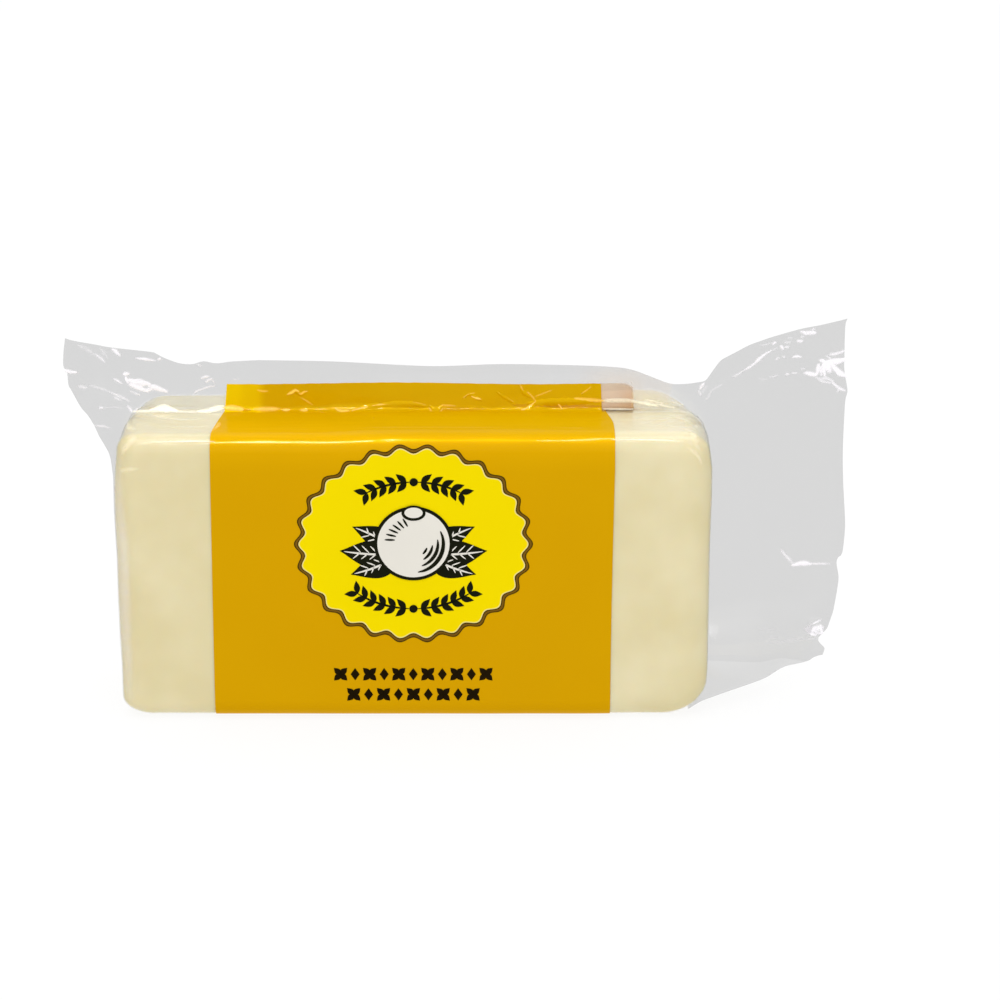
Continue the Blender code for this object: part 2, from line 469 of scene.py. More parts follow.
def bar_top(x):
    """Height of the bar's top in the middle plane."""
    return BAR_HEIGHT + PILLOW * max(1.0 - (2 * x / BAR_LENGTH) ** 2, 0.0) ** 0.5


def outline_inside(x, z):
    """True if a point of the middle plane is in the bar."""
    x -= end_inset(x, z)
    if z > 0.5 * BAR_HEIGHT:
        z -= PILLOW * max(1.0 - (2 * x / BAR_LENGTH) ** 2, 0.0) ** 0.5
    rx, _, rz = corner_radii(x, 0.0, z - BAR_HEIGHT / 2)
    over_x = max(abs(x) - (BAR_LENGTH / 2 - rx), 0.0) / rx
    over_z = max(abs(z - BAR_HEIGHT / 2) - (BAR_HEIGHT / 2 - rz), 0.0) / rz
    return math.hypot(over_x, over_z) < 1.0


def rib(edge):
    """Where a rib of the loose film starts inside the bar, and where it leaves the bar."""
    x, z = edge
    core_low = CORE_LOW
    if x > 0.0:
        z -= FOLD_DROP * (1.0 - smooth(10.0, 60.0, z))
        core_low = FOOT_LOW
    core = (clamp(x, -CORE_X, CORE_X), clamp(z, core_low, CORE_HIGH))
    scale = CORE_RADIUS / math.dist((x, z), core)
    root = (core[0] + (x - core[0]) * scale, max(core[1] + (z - core[1]) * scale, 0.05))
    low, high = 0.0, 1.0
    if outline_inside(*root):
        for _ in range(24):
            middle = (low + high) / 2
            if outline_inside(*(blend(a, b, middle) for a, b in zip(root, edge))):
                low = middle
            else:
                high = middle
    leave = tuple(blend(a, b, low) for a, b in zip(root, edge))
    return root, leave


def film_sway(x, z):
    """How far the loose film stands off the middle plane, towards the back."""
    gap = math.hypot(max(abs(x) - BAR_LENGTH / 2, 0.0), max(z - BAR_HEIGHT, 0.0))
    free = min(gap / 10.0, 1.0)
    fin = 0.8 + 0.7 * math.sin(x / 19.0 + 0.5) + 0.4 * math.sin(x / 6.7 + 1.7)
    fin *= free * (1.0 - smooth(70.0, 85.0, x))
    flap = 3.4 * math.sin(z / 21.0 + 0.4) * smooth(78.0, 107.0, x)
    ear = -2.6 * smooth(76.0, 87.0, -x)
    ripple = 0.30 * wave(x / 6.5, z / 14.0, 4.4) + 0.08 * wave(x / 2.2, z / 6.0, 6.1)
    ripple += 0.5 * smooth(74.0, 90.0, abs(x)) * wave(x / 11.0, z / 8.0, 1.4)
    return fin + flap + ear + ripple * min(gap / 4.0, 1.0)


def hang(x, z, half=0.0, side=-1.0, lift=0.0):
    """Point of a sheet of the loose film. A sheet that stands back is a little lower, so
    that its edge keeps its place, and the foot's two sides rise from the fold."""
    sway = film_sway(x, z)
    lean = 0.31 - 0.00125 * z
    return Vector((x, sway + side * half, max(z + lean * (half * lift - sway), 0.02)))


def print_top(x):
    """Height of the print's upper edge on the fin."""
    return PRINT_TOP + 0.22 * math.sin(x / 11.0 + 2.0) + 0.12 * wave(x / 3.0, 2.0, 2.0)


def draw_print(x, height, shift):
    """Moves a fin point sideways so that the print's edges taper as the film has drawn."""
    for edge in (shift - FIN_BAND_HALF, shift + FIN_BAND_HALF):
        near = smooth(9.0, 0.0, abs(x - edge))
        pull = blend(0.25, -0.35, clamp(height / 7.0, 0.0, 1.3))
        x += near * pull * (0.4 if edge > shift else -1.0)
    return x


def rib_rows(edge):
    """Points of the middle surface along a rib, each with half the film's opening, the
    distance from the bar and the rib's share in the open foot."""
    root, leave = rib(edge)
    length = math.dist(leave, edge)
    radius = min(root_radius(leave[0]), 0.45 * length)
    if leave[1] < BAR_HEIGHT - 4.0:
        radius = min(radius, 0.45)
    foot = 0.0
    if edge[0] > CORE_X:
        foot = 1.0 - smooth(0.0, TENT_HEIGHT, root[1])
    turn = min(max(radius, LEAN_SLOPE * along(ROOT_LEANS, leave[0])), 0.45 * length)
    on_fin = smooth(62.0, 56.5, abs(edge[0])) if edge[1] > BAR_HEIGHT else 0.0
    printed = blend(0.45 * length, print_top(edge[0]) - leave[1], on_fin)
    printed = clamp(printed, turn + 0.2, length - 0.2) if length > turn + 0.4 else 0.5 * length
    distances = []
    for k in range(ROOT_ROWS):
        angle = math.radians(90.0) * k / ROOT_ROWS
        distances.append(turn * (1.0 - math.cos(angle)) - 0.12 * (1.0 - k / ROOT_ROWS))
    for k in range(INNER_ROWS):
        distances.append(blend(turn, printed, k / INNER_ROWS))
    for k in range(OUTER_ROWS + 1):
        distances.append(blend(printed, length, k / OUTER_ROWS))
    rows = []
    for distance in distances:
        half = root_half(leave[0], distance, radius)
        tent = PLY_GAP + TENT_HALF * max(1.0 - max(distance, 0.0) / TENT_REACH, 0.0)
        half = blend(half, tent, foot)
        x, z = (blend(a, b, distance / length) for a, b in zip(leave, edge))
        straight = blend(0.05, 8.8, clamp((x - 68.0) / 34.9, 0.0, 1.0))
        z += foot ** 3 * (along(FOOT_LINE, x) - straight)
        rows.append((x, z, half, distance, foot))
    return rows


def edge_stations():
    """Where the ribs end, along the loose film's outer edge."""
    stations = []
    for run in EDGE_RUNS:
        stations.extend(smooth_run(run, STATION_STEP)[:-1])
    stations.append(EDGE_RUNS[-1][-1])
    return stations


def print_shift(side):
    """How far right the print of one sheet lies: side -1 is the front, 1 the back."""
    return BACK_SHIFT if side > 0 else 0.0


def ply_point(x, z, half, distance, foot, side):
    """Point of one sheet of the loose film."""
    if z > BAR_HEIGHT - 1.0:
        x = draw_print(x, distance, print_shift(side))
    return hang(x, z, half, side, foot)


def greyness(x, z):
    """0 where the film lies close before the cheese and looks clear, 1 where it is free."""
    if x > 0.0:
        x += 5.0 * smooth(14.0, 2.0, z)
    free = smooth(-0.5, 0.3, z - along(NEAR_LINE, x))
    return max(free, FIN_GREY * smooth(71.6, 72.6, z))


def front_paleness(x, z):
    """How much paler the front's print is: only at its left end, where the film is single."""
    return smooth(-36.5, -38.6, x) * blend(0.7, 1.0, smooth(-41.0, -44.0, x))


def print_cover(x, z):
    """How far the back sheet's print covers: rounded at its upper right, soft-edged."""
    corner = 2.0 - math.sqrt(max(2.0 ** 2 - (0.5 * max(x - 50.6, 0.0)) ** 2, 0.0))
    return smooth(0.5, -0.3, z - PRINT_TOP + corner) * smooth(54.7, 53.9, x)


def back_cover(x, z):
    """How far the back's amber covers: it ends a little before the lining behind it."""
    return print_cover(x + 0.9, z + 0.4)


def ink_haze(x, z):
    """A thin warm haze of ink on the back sheet beside and above its print."""
    above = 0.30 * smooth(84.5, 78.8, z) * smooth(61.0, 54.0, x) * smooth(38.0, 50.0, x)
    beside = 0.15 * smooth(64.6, 62.8, x) * smooth(49.0, 56.0, x) * smooth(71.6, 74.0, z)
    return max(above, beside) * (1.0 - print_cover(x, z))


def make_loose_film(clear, foot_sheet, amber_front, amber_back, lining, haze):
    """Both sheets of the loose film, with the fin's printed stretch and the open foot in
    sheets of their own. Where the film has layers, each lies a little further inward."""
    edges = edge_stations()
    ribs = [rib_rows(edge) for edge in edges]
    for side in (-1.0, 1.0):
        amber = (amber_front, 0.0, front_paleness) if side < 0 else (amber_back, 0.0, back_cover)
        known = {}
        made = [[ply_point(*row, side) for row in rows] for rows in ribs]
        for s in range(len(ribs) - 1):
            middle = (edges[s][0] + edges[s + 1][0]) / 2
            high = edges[s][1] > BAR_HEIGHT and edges[s + 1][1] > BAR_HEIGHT
            in_band = high and abs(middle - print_shift(side)) < FIN_BAND_HALF
            hazy = side > 0 and high and 34.0 < middle < 64.5
            plain = foot_sheet if ribs[s][0][4] > 0.02 else clear
            for r in range(len(ribs[0]) - 1):
                if in_band and r < ROOT_ROWS + INNER_ROWS:
                    layers = [amber, (lining, 0.03, print_cover)]
                    if hazy:
                        layers.insert(1, (plain, 0.015, greyness))
                else:
                    layers = [(plain, 0.0, greyness)]
                if hazy:
                    layers.append((haze, 0.045, ink_haze))
                for sheet, inward, amount_at in layers:
                    corners = []
                    for ds, dr in CELL:
                        key = (id(sheet), inward, s + ds, r + dr)
                        if key not in known:
                            point = made[s + ds][r + dr] - Vector((0.0, side * inward, inward))
                            amount = amount_at(*ribs[s + ds][r + dr][:2])
                            known[key] = sheet.add_point(point, amount)
                        corners.append(known[key])
                    turned = (side > 0) != (sheet in (lining, haze))
                    sheet.add_face(corners[::-1] if turned else corners)
    return ribs


def close_foot(sheet, ribs):
    """The film's fold under the flap's foot, joining its two sheets."""
    rows = []
    for x, z, half, _, foot in ribs[0]:
        row = []
        for k in range(17):
            across = -1.0 + k / 8
            row.append(hang(x, z, abs(across) * half, math.copysign(1.0, across), foot))
        rows.append(row)
    sheet.add_grid(rows, amount=FOOT_GREY)


# ---------------------------------------------------------------- creases, painted glints, painted highlights and painted shade on the film

def fin_front(x, z, offset):
    """Point just off the loose film's front sheet."""
    half = PLY_GAP
    if abs(x) < BAR_LENGTH / 2 - 2.0 and z < BAR_HEIGHT + 6.0:
        half = root_half(x, z - bar_top(x), root_radius(x))
    elif x > CORE_X and z < TENT_HEIGHT:
        reach = max(1.0 - (x - 73.0) / TENT_REACH, 0.0)
        half += 1.3 * TENT_HALF * reach * smooth(TENT_HEIGHT, 0.0, z) + 0.4
    return hang(x, z, half + offset)


def standing_fold(sheet, points, width, height):
    """A narrow standing fold along a line on the front sheet, tapering to both ends."""
    run = smooth_run(points, 0.6)
    rows = []
    for k, (x, z) in enumerate(run):
        across_x, across_z = across_line(run, k)
        size = taper(k, len(run), 0.25, 0.6) * (1.0 + 0.3 * wave(k * 0.7, x, z))
        row = []
        for j in range(9):
            u = -1.0 + j / 4.0
            rise = height * size * (1.0 - u * u) ** 1.3
            aside = u * width * size / 2
            row.append(fin_front(x + across_x * aside, z + across_z * aside, 0.02 + rise))
        rows.append(row)
    sheet.add_grid(rows)


PAINT_STEP = 0.18


def painted_strength(strokes, ragged):
    """How strong a painted stroke of glint, highlight or shade is at the knots of a fine grid:
    most along its line.

    A stroke is its width, its strength and the (x, z) points of its line.
    """
    field = {}
    for width, strength, points in strokes:
        run = smooth_run(points, 0.6 * PAINT_STEP)
        edge = blend(1.4, 0.45, clamp(width - 0.5, 0.0, 1.0))
        for k, (x, z) in enumerate(run):
            reach = 0.5 * (1.15 * width + 0.2) * taper(k, len(run), 0.6, 0.45)
            reach = max(reach * (1.0 + ragged * wave(x / 1.6, z / 1.6, width)), 0.2)
            spans = [
                range(math.floor((v - reach) / PAINT_STEP), math.ceil((v + reach) / PAINT_STEP) + 1)
                for v in (x, z)
            ]
            for knot in itertools.product(*spans):
                far = math.hypot(knot[0] * PAINT_STEP - x, knot[1] * PAINT_STEP - z) / reach
                if far < 1.0:
                    value = strength * (1.0 - far * far) ** edge
                    field[knot] = max(field.get(knot, 0.0), value)
    for i, j in field:
        uneven = 1.1 + 0.7 * ragged * wave(i * PAINT_STEP / 1.1, j * PAINT_STEP / 1.1, 2.0)
        field[i, j] = min(field[i, j] * uneven, 1.0)
    return field


def make_painted_strokes(sheet, strokes, rise, ragged=0.3):
    """Thin patches of painted glint, highlight or shade over the film, standing up the more, the
    stronger they are painted.
    """
    field = painted_strength(strokes, ragged)
    known = {}
    cells = {(i + di, j + dj) for i, j in field for di in (-1, 0) for dj in (-1, 0)}
    for i, j in sorted(cells):
        corners = [(i + di, j + dj) for di, dj in CELL]
        if max(field.get(corner, 0.0) for corner in corners) < 0.03:
            continue
        for corner in corners:
            if corner not in known:
                amount = field.get(corner, 0.0)
                x, z = (value * PAINT_STEP for value in corner)
                known[corner] = sheet.add_point(fin_front(x, z, 0.04 + rise * amount), amount)
        sheet.add_face([known[corner] for corner in corners])


def skin_painted_stroke(sheet, width, strength, points, rise):
    """A soft painted highlight on the tight film, along a line of the plain box; it also draws
    painted sheen.
    """
    run = [Vector(point) for point in smooth_run(points, 0.5)]
    half = Vector((BAR_LENGTH / 2, BAR_DEPTH / 2, BAR_HEIGHT / 2))
    rows = []
    for k, point in enumerate(run):
        ahead = run[min(k + 1, len(run) - 1)] - run[max(k - 1, 0)]
        _, normal = bar_point(*point)
        across = ahead.cross(normal).normalized()
        size = taper(k, len(run), 0.3, 0.6)
        row = []
        for j in range(9):
            u = -1.0 + j / 4.0
            amount = strength * size * (1.0 - u * u) ** 1.5
            amount *= 1.0 + 0.4 * wave(k * 0.35, u * 1.2, width)
            place = point + across * (u * 0.5 * width * (0.5 + 0.5 * size))
            place.y -= math.copysign(max(abs(place.x) - half.x, 0.0), place.y)
            place = [clamp(value, -limit, limit) for value, limit in zip(place, half)]
            row.append(sheet.add_point(skin_point(*place, 0.14 + rise * amount), amount))
        rows.append(row)
    for first, second in zip(rows, rows[1:]):
        for j in range(8):
            sheet.add_face((first[j], second[j], second[j + 1], first[j + 1]))


# Painted highlights on the tight film, (width, strength, line on the plain box): soft glints at
# its corners and along its upper front edge, then painted sheen in a pale strip down the left
# front edge and a painted highlight at the band's upper left corner.
SKIN_HIGHLIGHTS = (
    (3.2, 0.30, ((-67.6, -22.8, 35.6), (-69.2, -24.8, 34.4), (-70.8, -24.8, 32.6),
                 (-72.2, -24.8, 30.4))),
    (2.4, 0.26, ((-72.2, -4.0, 35.6), (-71.8, -9.0, 35.6), (-70.6, -14.0, 35.6),
                 (-68.0, -18.8, 35.6))),
    (1.6, 0.20, ((-72.8, -24.8, 26.6), (-70.0, -24.8, 27.2), (-66.6, -24.8, 27.6))),
    (2.2, 0.16, ((-64.0, -8.0, 35.6), (-57.0, -9.0, 35.6), (-51.0, -8.4, 35.6))),
    (1.8, 0.14, ((-60.0, -15.0, 35.6), (-54.0, -15.6, 35.6), (-49.6, -15.2, 35.6))),
    (2.8, 0.24, ((66.0, -16.0, 35.6), (68.4, -20.6, 35.6), (70.4, -24.8, 33.6),
                 (72.2, -24.8, 31.4))),
    (2.2, 0.18, ((63.0, -4.0, 35.6), (67.4, -9.6, 35.6), (71.0, -14.4, 35.6))),
    (1.8, 0.16, ((54.0, -8.0, 35.6), (59.0, -9.2, 35.6), (63.6, -10.8, 35.6))),
    (1.8, 0.16, ((56.0, -14.0, 35.6), (61.0, -15.0, 35.6), (66.0, -17.6, 35.6))),
    (1.8, 0.20, ((67.2, -24.8, 32.4), (70.0, -24.8, 30.8), (72.4, -24.8, 28.0))),
    (1.4, 0.40, ((-66.0, -24.8, 34.6), (-60.0, -24.8, 34.9), (-54.0, -24.8, 35.0),
                 (-47.4, -24.8, 34.9))),
    (1.2, 0.60, ((-59.0, -24.8, 35.0), (-55.0, -24.8, 35.1), (-47.0, -24.8, 34.9))),
    (1.2, 0.60, ((47.2, -24.8, 35.3), (54.0, -24.8, 35.4), (60.0, -24.8, 35.3),
                 (66.0, -24.8, 34.8))),
)
LEFT_EDGE_SHEEN = (
    8.0, 0.26, ((-73.2, -24.8, 31.0), (-73.2, -24.8, 10.0), (-73.2, -24.8, -10.0),
                (-73.2, -24.8, -32.0)),
)
BAND_CORNER_HIGHLIGHT = (
    1.5, 0.50, ((-47.7, -11.0, 35.6), (-47.6, -15.0, 35.6), (-48.0, -19.0, 35.6)),
)

# Painted glints and highlights on the loose film, white strokes given as (width, strength, line
# through (x, z)): at the flap's top and middle, its upper right corner and its lower right
# corner, then at the ear, at the fin's root and on the printed fin.
FLAP_GLINTS = (
    (0.48, 0.95, ((88.0, 86.9), (86.6, 86.0), (85.5, 85.1), (84.7, 84.3), (83.7, 83.4),
                  (82.6, 82.6), (81.4, 81.9))),
    (0.88, 0.9, ((85.7, 85.3), (85.0, 84.7), (84.4, 84.1))),
    (0.48, 0.4, ((81.2, 81.8), (80.1, 81.0), (78.8, 80.3))),
    (0.48, 0.25, ((76.2, 78.4), (74.9, 77.7), (73.5, 76.8))),
    (0.40, 0.3, ((72.3, 74.6), (72.9, 75.4), (73.5, 76.5))),
    (0.61, 0.95, ((71.8, 78.7), (71.2, 78.0), (70.8, 77.2))),
    (0.48, 0.5, ((70.4, 76.9), (70.8, 76.2), (71.0, 75.6))),
    (0.35, 0.3, ((71.3, 76.4), (71.8, 77.2), (72.4, 78.0))),
    (0.35, 0.8, ((84.8, 84.6), (85.4, 85.2), (86.4, 86.0), (87.1, 86.5), (87.9, 86.8))),
    (0.54, 1.0, ((88.5, 88.5), (88.7, 88.8), (89.1, 89.0))),
    (0.64, 0.95, ((90.4, 88.1), (90.7, 87.7), (90.9, 87.2))),
    (0.61, 0.6, ((91.4, 87.8), (91.8, 87.8), (92.3, 87.8))),
    (0.48, 0.35, ((91.1, 89.0), (91.8, 89.0), (92.7, 89.1))),
    (0.64, 1.0, ((94.3, 89.3), (95.0, 89.3), (95.6, 89.3))),
    (0.51, 1.0, ((93.3, 85.2), (94.2, 85.5), (95.4, 85.3))),
    (0.41, 0.7, ((90.9, 85.3), (91.2, 85.3), (91.4, 85.4))),
    (0.45, 0.5, ((89.2, 84.8), (89.6, 84.9), (89.9, 85.0))),
    (0.38, 0.4, ((95.2, 90.3), (95.5, 90.4), (95.9, 90.4))),
    (0.41, 0.25, ((91.9, 90.2), (92.6, 90.1), (93.2, 90.0))),
    (0.41, 0.6, ((97.9, 92.2), (98.2, 92.3), (98.5, 92.4))),
    (0.96, 0.9, ((95.1, 91.7), (96.3, 91.3), (97.4, 91.4), (98.8, 91.4))),
    (0.32, 0.3, ((85.5, 88.2), (86.6, 88.4), (88.0, 88.8))),
    (0.35, 0.25, ((88.1, 86.8), (89.0, 87.3), (89.6, 87.6))),
    (0.54, 0.5, ((91.7, 80.9), (92.0, 81.0), (92.4, 81.1))),
    (0.38, 0.5, ((93.2, 81.3), (93.9, 81.3), (94.5, 81.3))),
    (0.35, 0.4, ((95.5, 82.3), (95.8, 82.4), (96.2, 82.3))),
    (0.41, 0.35, ((87.9, 80.3), (88.7, 80.4), (89.6, 80.7))),
    (0.26, 0.2, ((85.4, 79.8), (86.2, 79.7), (87.0, 79.6))),
    (0.70, 0.55, ((91.8, 36.2), (92.8, 34.9), (93.9, 33.8), (94.9, 32.6))),
    (1.14, 1.0, ((94.6, 32.2), (95.6, 32.4), (96.8, 32.7), (98.1, 32.7), (99.5, 32.5))),
    (0.41, 0.65, ((98.9, 32.7), (100.5, 32.6), (102.2, 32.6), (104.1, 32.6))),
    (0.37, 0.25, ((89.1, 14.4), (89.9, 14.3), (91.2, 14.3))),
    (0.41, 0.25, ((88.7, 13.4), (91.2, 13.2), (93.9, 13.5), (97.7, 13.6), (101.6, 13.3))),
    (0.33, 0.15, ((86.8, 16.2), (88.4, 16.0), (90.9, 16.1))),
)
CRUMPLED_FLAP_GLINTS = (
    (1.36, 1.0, ((100.5, 84.1), (101.8, 83.9), (103.1, 84.1), (104.5, 84.3), (106.3, 84.8))),
    (1.75, 1.0, ((101.2, 83.7), (101.6, 83.0), (102.0, 82.5))),
    (1.28, 1.0, ((102.6, 83.7), (103.6, 82.5), (104.9, 81.3), (106.5, 80.4))),
    (0.88, 1.0, ((100.6, 83.7), (100.8, 82.5), (101.0, 81.6), (101.2, 80.5))),
    (0.80, 0.95, ((99.9, 84.5), (100.4, 84.4), (101.0, 84.4))),
    (0.88, 0.95, ((99.7, 83.6), (99.5, 82.5), (99.4, 81.6), (99.2, 80.9))),
    (0.96, 0.95, ((99.4, 81.2), (98.9, 80.9), (98.1, 81.0), (97.2, 81.2), (96.2, 81.3))),
    (0.64, 0.8, ((100.2, 83.0), (100.2, 81.9), (100.4, 80.6))),
    (0.80, 0.65, ((102.2, 85.9), (103.6, 86.1), (104.9, 86.5), (105.8, 86.9))),
    (0.48, 0.45, ((101.5, 85.6), (102.1, 85.2), (102.7, 84.8))),
    (0.67, 0.55, ((99.1, 80.2), (100.2, 79.8), (101.4, 80.0), (102.7, 79.5), (103.7, 78.7))),
    (0.54, 0.5, ((99.6, 79.6), (100.7, 79.2), (101.9, 78.9), (103.0, 78.8))),
    (0.64, 0.75, ((103.0, 78.9), (104.0, 78.1), (105.0, 77.4), (106.4, 76.8))),
    (0.48, 0.6, ((104.4, 76.6), (104.7, 77.1), (105.1, 77.4))),
    (0.96, 0.8, ((102.2, 82.5), (102.4, 81.9), (101.9, 81.6))),
)
CRUMPLED_CORNER_GLINTS = (
    (0.54, 0.75, ((98.1, 15.9), (99.7, 16.9), (100.9, 17.5), (102.3, 18.1))),
    (1.45, 0.75, ((98.2, 15.9), (99.7, 15.7), (101.4, 16.0), (102.8, 16.2))),
    (0.75, 0.95, ((98.7, 15.3), (99.9, 14.7), (101.2, 14.3))),
    (0.83, 1.0, ((102.2, 16.9), (102.4, 15.9), (102.7, 14.6))),
    (0.62, 0.8, ((100.5, 15.4), (101.4, 14.9), (102.6, 14.6))),
)
EAR_GLINTS = (
    (0.88, 0.22, ((-82.4, 88.3), (-81.1, 87.7), (-79.7, 86.8), (-78.4, 85.8))),
    (0.48, 0.75, ((-78.2, 86.0), (-77.5, 85.3), (-76.8, 84.8), (-76.2, 84.1))),
    (0.60, 0.2, ((-77.2, 87.6), (-76.2, 86.3), (-75.4, 85.2))),
    (0.84, 1.0, ((-74.2, 87.3), (-73.3, 86.7), (-72.3, 85.7))),
    (0.52, 1.0, ((-68.4, 85.0), (-67.0, 84.9), (-65.4, 84.7), (-63.6, 84.4))),
    (0.52, 0.8, ((-62.9, 84.7), (-62.5, 84.8), (-62.1, 85.0))),
    (0.80, 1.0, ((-86.1, 82.1), (-84.8, 81.7), (-83.8, 81.5), (-82.8, 81.5))),
    (0.64, 0.5, ((-82.7, 78.0), (-81.7, 77.8), (-80.5, 77.6))),
    (0.48, 0.95, ((-73.9, 79.8), (-73.0, 79.3), (-72.0, 78.7))),
    (0.60, 0.3, ((-80.0, 78.3), (-78.2, 77.7), (-76.7, 77.2), (-74.9, 76.5))),
    (0.60, 0.5, ((-75.3, 76.6), (-73.9, 76.0), (-72.6, 75.4), (-71.2, 74.8), (-70.3, 74.2))),
    (0.56, 0.4, ((-74.0, 75.1), (-73.2, 74.8), (-72.2, 74.4))),
    (0.44, 0.5, ((-69.8, 76.7), (-68.7, 76.2), (-67.6, 75.8))),
    (0.50, 0.5, ((-79.1, 68.1), (-77.9, 67.9), (-76.6, 67.8), (-75.2, 67.3))),
    (0.66, 0.75, ((-77.7, 72.5), (-77.3, 72.5), (-76.8, 72.5))),
    (0.19, 0.25, ((-76.8, 72.5), (-75.2, 72.6), (-73.8, 72.7), (-72.1, 72.5))),
    (0.48, 0.5, ((-73.7, 75.2), (-73.3, 74.9), (-72.9, 74.7))),
    (0.60, 0.7, ((-70.7, 73.0), (-70.3, 72.5), (-69.9, 72.1), (-69.6, 71.6))),
    (0.53, 0.5, ((-68.9, 71.5), (-68.6, 72.0), (-68.3, 72.4))),
    (0.56, 0.65, ((-52.3, 80.0), (-51.7, 80.2), (-51.2, 80.4), (-50.5, 80.4))),
    (0.51, 0.65, ((-51.3, 79.0), (-50.7, 79.4), (-50.1, 79.7), (-49.7, 79.9))),
    (0.25, 0.4, ((-49.8, 79.8), (-49.4, 79.4), (-49.0, 78.9))),
    (0.45, 0.5, ((-54.2, 75.9), (-53.8, 76.6), (-52.5, 77.1), (-51.3, 77.6), (-50.1, 77.9),
                 (-48.9, 78.1))),
    (0.40, 0.4, ((-53.1, 83.4), (-52.7, 83.3), (-52.3, 83.0))),
    (0.51, 0.25, ((-44.3, 79.7), (-43.7, 79.7), (-43.2, 79.6))),
)
CRUMPLED_EAR_GLINTS = (
    (0.86, 0.95, ((-71.5, 81.0), (-70.8, 81.1), (-70.2, 81.1))),
    (0.76, 0.95, ((-71.0, 80.4), (-70.7, 79.6), (-70.4, 78.7))),
    (1.45, 0.95, ((-70.3, 79.6), (-68.7, 79.1), (-67.0, 78.8), (-64.9, 78.5))),
    (1.20, 0.85, ((-69.9, 78.7), (-68.4, 78.3), (-67.0, 77.9))),
    (1.00, 0.95, ((-70.2, 78.4), (-68.8, 77.9), (-67.4, 77.4), (-66.2, 76.9), (-65.5, 76.6))),
    (1.00, 0.9, ((-66.0, 76.9), (-65.1, 77.2), (-64.1, 77.5))),
    (1.35, 0.95, ((-65.4, 78.1), (-63.9, 77.7), (-62.5, 77.2), (-60.7, 76.6))),
)
ROOT_HIGHLIGHTS = (
    (0.42, 0.65, ((-69.2, 71.7), (-66.6, 71.8), (-64.0, 71.9), (-60.0, 71.9), (-57.0, 71.8))),
    (1.10, 0.95, ((-65.2, 72.0), (-63.2, 72.4), (-61.6, 72.8), (-60.2, 72.3), (-58.2, 71.9))),
    (1.30, 0.95, ((-62.8, 72.1), (-61.5, 72.4), (-60.4, 72.0))),
    (0.40, 0.45, ((-58.6, 71.7), (-54.8, 71.7), (-50.8, 71.7))),
    (0.80, 0.8, ((-53.4, 71.8), (-50.6, 72.0), (-48.6, 72.3), (-46.9, 72.5))),
    (0.70, 0.8, ((-50.4, 72.4), (-48.4, 72.8), (-46.9, 73.0))),
    (1.10, 0.5, ((46.7, 74.3), (50.2, 74.4), (53.6, 74.3), (55.6, 74.1))),
    (0.90, 0.6, ((54.4, 74.1), (57.0, 73.7), (59.4, 73.2), (60.4, 73.0))),
    (0.50, 0.45, ((57.0, 74.6), (59.4, 74.2), (61.6, 73.7))),
    (0.60, 0.4, ((60.0, 73.6), (62.0, 73.0), (64.6, 72.5))),
    (0.45, 0.3, ((63.2, 74.2), (65.0, 73.7), (66.6, 73.2))),
    (0.40, 0.5, ((46.9, 72.3), (50.4, 72.3), (54.2, 72.3))),
)
BAND_HIGHLIGHTS = (
    (1.10, 0.8, ((-46.8, 72.6), (-44.6, 72.6), (-42.0, 72.2))),
    (0.90, 0.45, ((-39.4, 72.3), (-36.0, 72.3), (-33.0, 72.3))),
    (0.42, 0.55, ((-38.4, 77.0), (-37.3, 76.7), (-36.0, 76.7))),
    (0.69, 0.75, ((-31.1, 75.9), (-30.0, 76.4), (-29.2, 76.9), (-28.3, 76.7))),
    (0.47, 0.65, ((-28.5, 76.4), (-27.8, 76.0), (-27.0, 76.5), (-26.2, 76.7))),
    (0.30, 0.35, ((-27.7, 75.0), (-26.3, 74.2), (-25.0, 73.3))),
    (0.55, 0.7, ((-32.3, 72.1), (-31.6, 72.1), (-30.7, 72.1))),
    (0.50, 0.65, ((-27.9, 72.1), (-27.0, 72.1), (-26.1, 72.1))),
    (0.47, 0.75, ((-19.3, 72.5), (-18.4, 72.1), (-17.4, 72.0), (-15.8, 72.1))),
    (0.50, 0.7, ((-15.1, 72.1), (-12.6, 72.6), (-9.3, 73.2), (-5.8, 73.5))),
    (0.45, 0.3, ((-5.8, 73.5), (-2.7, 73.7), (0.6, 73.7), (3.0, 73.2))),
    (0.28, 0.5, ((3.9, 72.5), (4.6, 71.7), (5.6, 71.5), (6.6, 71.7), (7.2, 72.4))),
    (0.36, 0.45, ((7.0, 73.2), (8.3, 73.1), (10.3, 73.0))),
    (0.25, 0.4, ((12.4, 75.1), (13.4, 75.8), (15.0, 76.3))),
    (0.47, 0.9, ((14.4, 75.4), (15.4, 75.0), (16.6, 74.7))),
    (0.25, 0.3, ((21.0, 76.3), (22.7, 75.1), (24.6, 74.1))),
    (0.36, 0.45, ((26.4, 78.3), (26.8, 77.4), (27.2, 76.6))),
    (0.30, 0.5, ((28.2, 76.5), (29.3, 75.4), (30.4, 73.9))),
    (0.25, 0.35, ((30.2, 75.4), (32.0, 76.1), (34.0, 76.9))),
    (0.42, 0.75, ((26.7, 72.2), (27.9, 72.5), (28.9, 73.1), (30.0, 74.0))),
    (0.80, 0.4, ((31.2, 74.0), (34.0, 74.0), (39.6, 74.2))),
    (0.36, 0.7, ((35.4, 74.0), (36.0, 73.3), (36.7, 72.3))),
    (0.90, 0.6, ((39.8, 74.9), (41.7, 74.6), (44.3, 74.4), (47.1, 74.3))),
    (0.25, 0.35, ((41.6, 76.1), (42.6, 76.8), (43.8, 77.7))),
)
